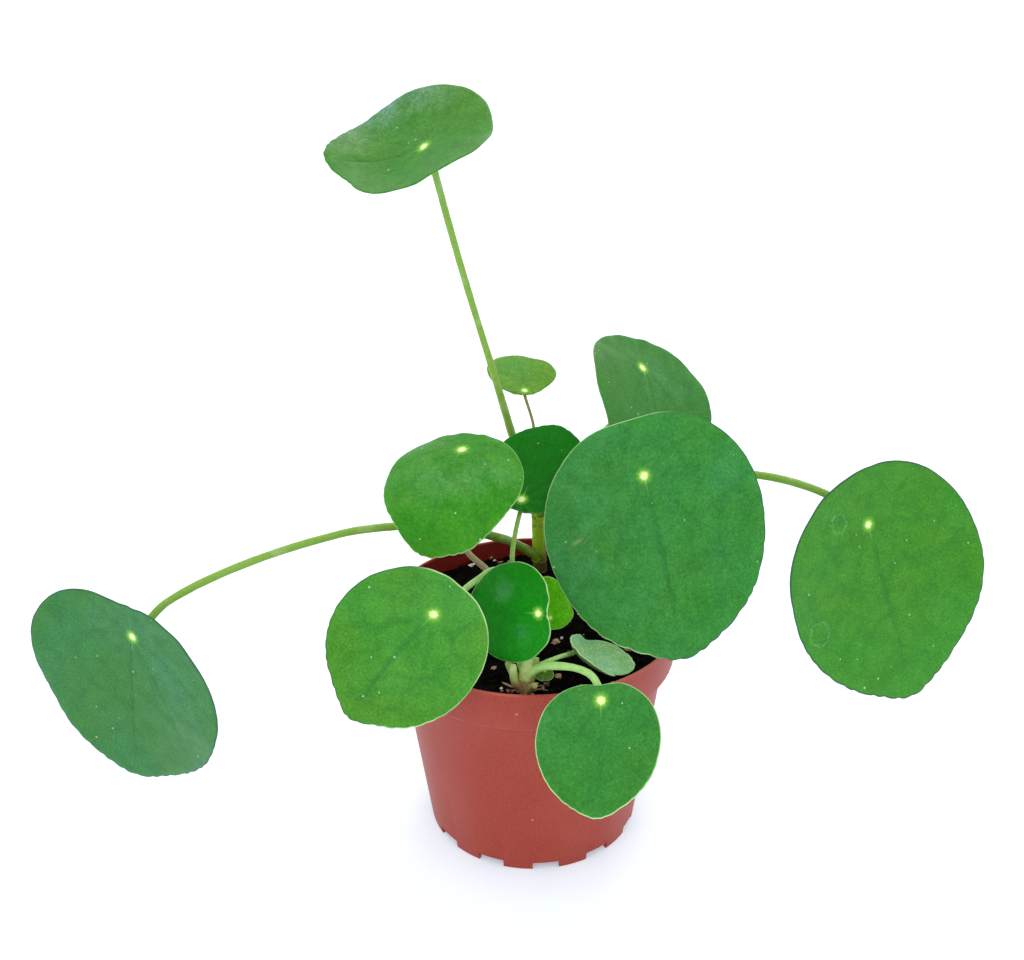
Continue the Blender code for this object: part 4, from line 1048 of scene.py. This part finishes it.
def makeLumps(name, spots, seed, material):
    # Single chips that lie where they are put: x, y and size in millimetres
    chance = random.Random(seed)
    chips = bmesh.new()
    for x, y, size in spots:
        made = bmesh.ops.create_icosphere(chips, subdivisions=3, radius=0.5)["verts"]
        stretch = Vector((chance.uniform(0.8, 1.3), chance.uniform(0.55, 0.9), chance.uniform(0.35, 0.6)))
        turn = Matrix.Rotation(chance.uniform(0.0, math.tau), 3, "Z")
        turn = turn @ Matrix.Rotation(chance.uniform(-0.4, 0.4), 3, "X")
        shift = Vector((chance.uniform(0, 50), chance.uniform(0, 50), 0.0))
        centre = Vector((x, y, crumbHeight(x, y) + 0.18 * size))
        for vert in made:
            rough = 0.75 + 0.75 * noise.noise(vert.co * 3.0 + shift)
            rough += 0.25 * noise.noise(vert.co * 9.0 + shift)
            vert.co = (centre + turn @ (vert.co * stretch) * size * rough) * mm
    bmesh.ops.recalc_face_normals(chips, faces=chips.faces)
    return solid(name, chips, material)


def makeSoil():
    gap, sides = soil["gap"], soil["sides"]
    ledge, channel = ledgeHeight + pot["wall"], pot["channel"] + pot["floor"]
    edge = innerRadius(soil["level"]) - soil["play"]
    walls = [(pot["sole"] - 1.6, pot["floor"] + gap), (pot["sole"] - 1.0, channel + gap),
             (innerRadius(channel) - gap, channel + gap), (innerRadius(ledge) - gap, ledge + gap),
             (innerRadius(ledge + 0.5) - 2.0 * gap, ledge + 1.0)]
    circle = [(math.cos(math.tau * i / sides), math.sin(math.tau * i / sides)) for i in range(sides)]
    grid = bmesh.new()
    rings = [[grid.verts.new((radius * x * mm, radius * y * mm, height * mm)) for x, y in circle]
             for radius, height in walls]
    for k in range(soil["rings"]):
        radius = edge * (1.0 - k / soil["rings"])
        spots = ((radius * x, radius * y) for x, y in circle)
        rings.append([grid.verts.new((x * mm, y * mm, crumbHeight(x, y) * mm)) for x, y in spots])
    for lower, upper in zip(rings, rings[1:]):
        for i in range(sides):
            j = (i + 1) % sides
            grid.faces.new((lower[i], lower[j], upper[j], upper[i]))
    grid.faces.new(list(reversed(rings[0])))
    middle = grid.verts.new((0.0, 0.0, crumbHeight(0.0, 0.0) * mm))
    for i in range(sides):
        grid.faces.new((rings[-1][i], rings[-1][(i + 1) % sides], middle))
    bmesh.ops.recalc_face_normals(grid, faces=grid.faces)
    surface = solid("soilMix", grid, soilFinish())
    placed(surface, "soil", "soil", sharp=60.0)
    growth = chipTree()
    for name, look in bits.items():
        material = chipFinish(name + "Bits", *look["colours"])
        least, most = look["size"]
        piece = growth.grow(
            name + "Bits", surface.data.copy(), material, Density=look["density"], Least=least * mm,
            Most=most * mm, Flat=look["flat"], Edge=(edge - 1.0) * mm, Detail=look["detail"],
            Seed=look["seed"])
        placed(piece, "soil", sharp=50.0)
        if "spots" in look:
            chips = makeLumps(name + "Chips", look["spots"], look["seed"], material)
            placed(chips, "soil", sharp=50.0)


makeCamera()
makeLight()
makeFloor()
print("camera, light and floor")
makePot()
print("pot")
stalkGrowth = stalkTree()
makeStems(stalkGrowth)
makeSheaths(stalkGrowth)
makeRootlets(stalkGrowth)
print("stems")
makeLeaves(bladeTree(), stalkGrowth)
print("leaves and stalks")
makeSoil()
print("soil")
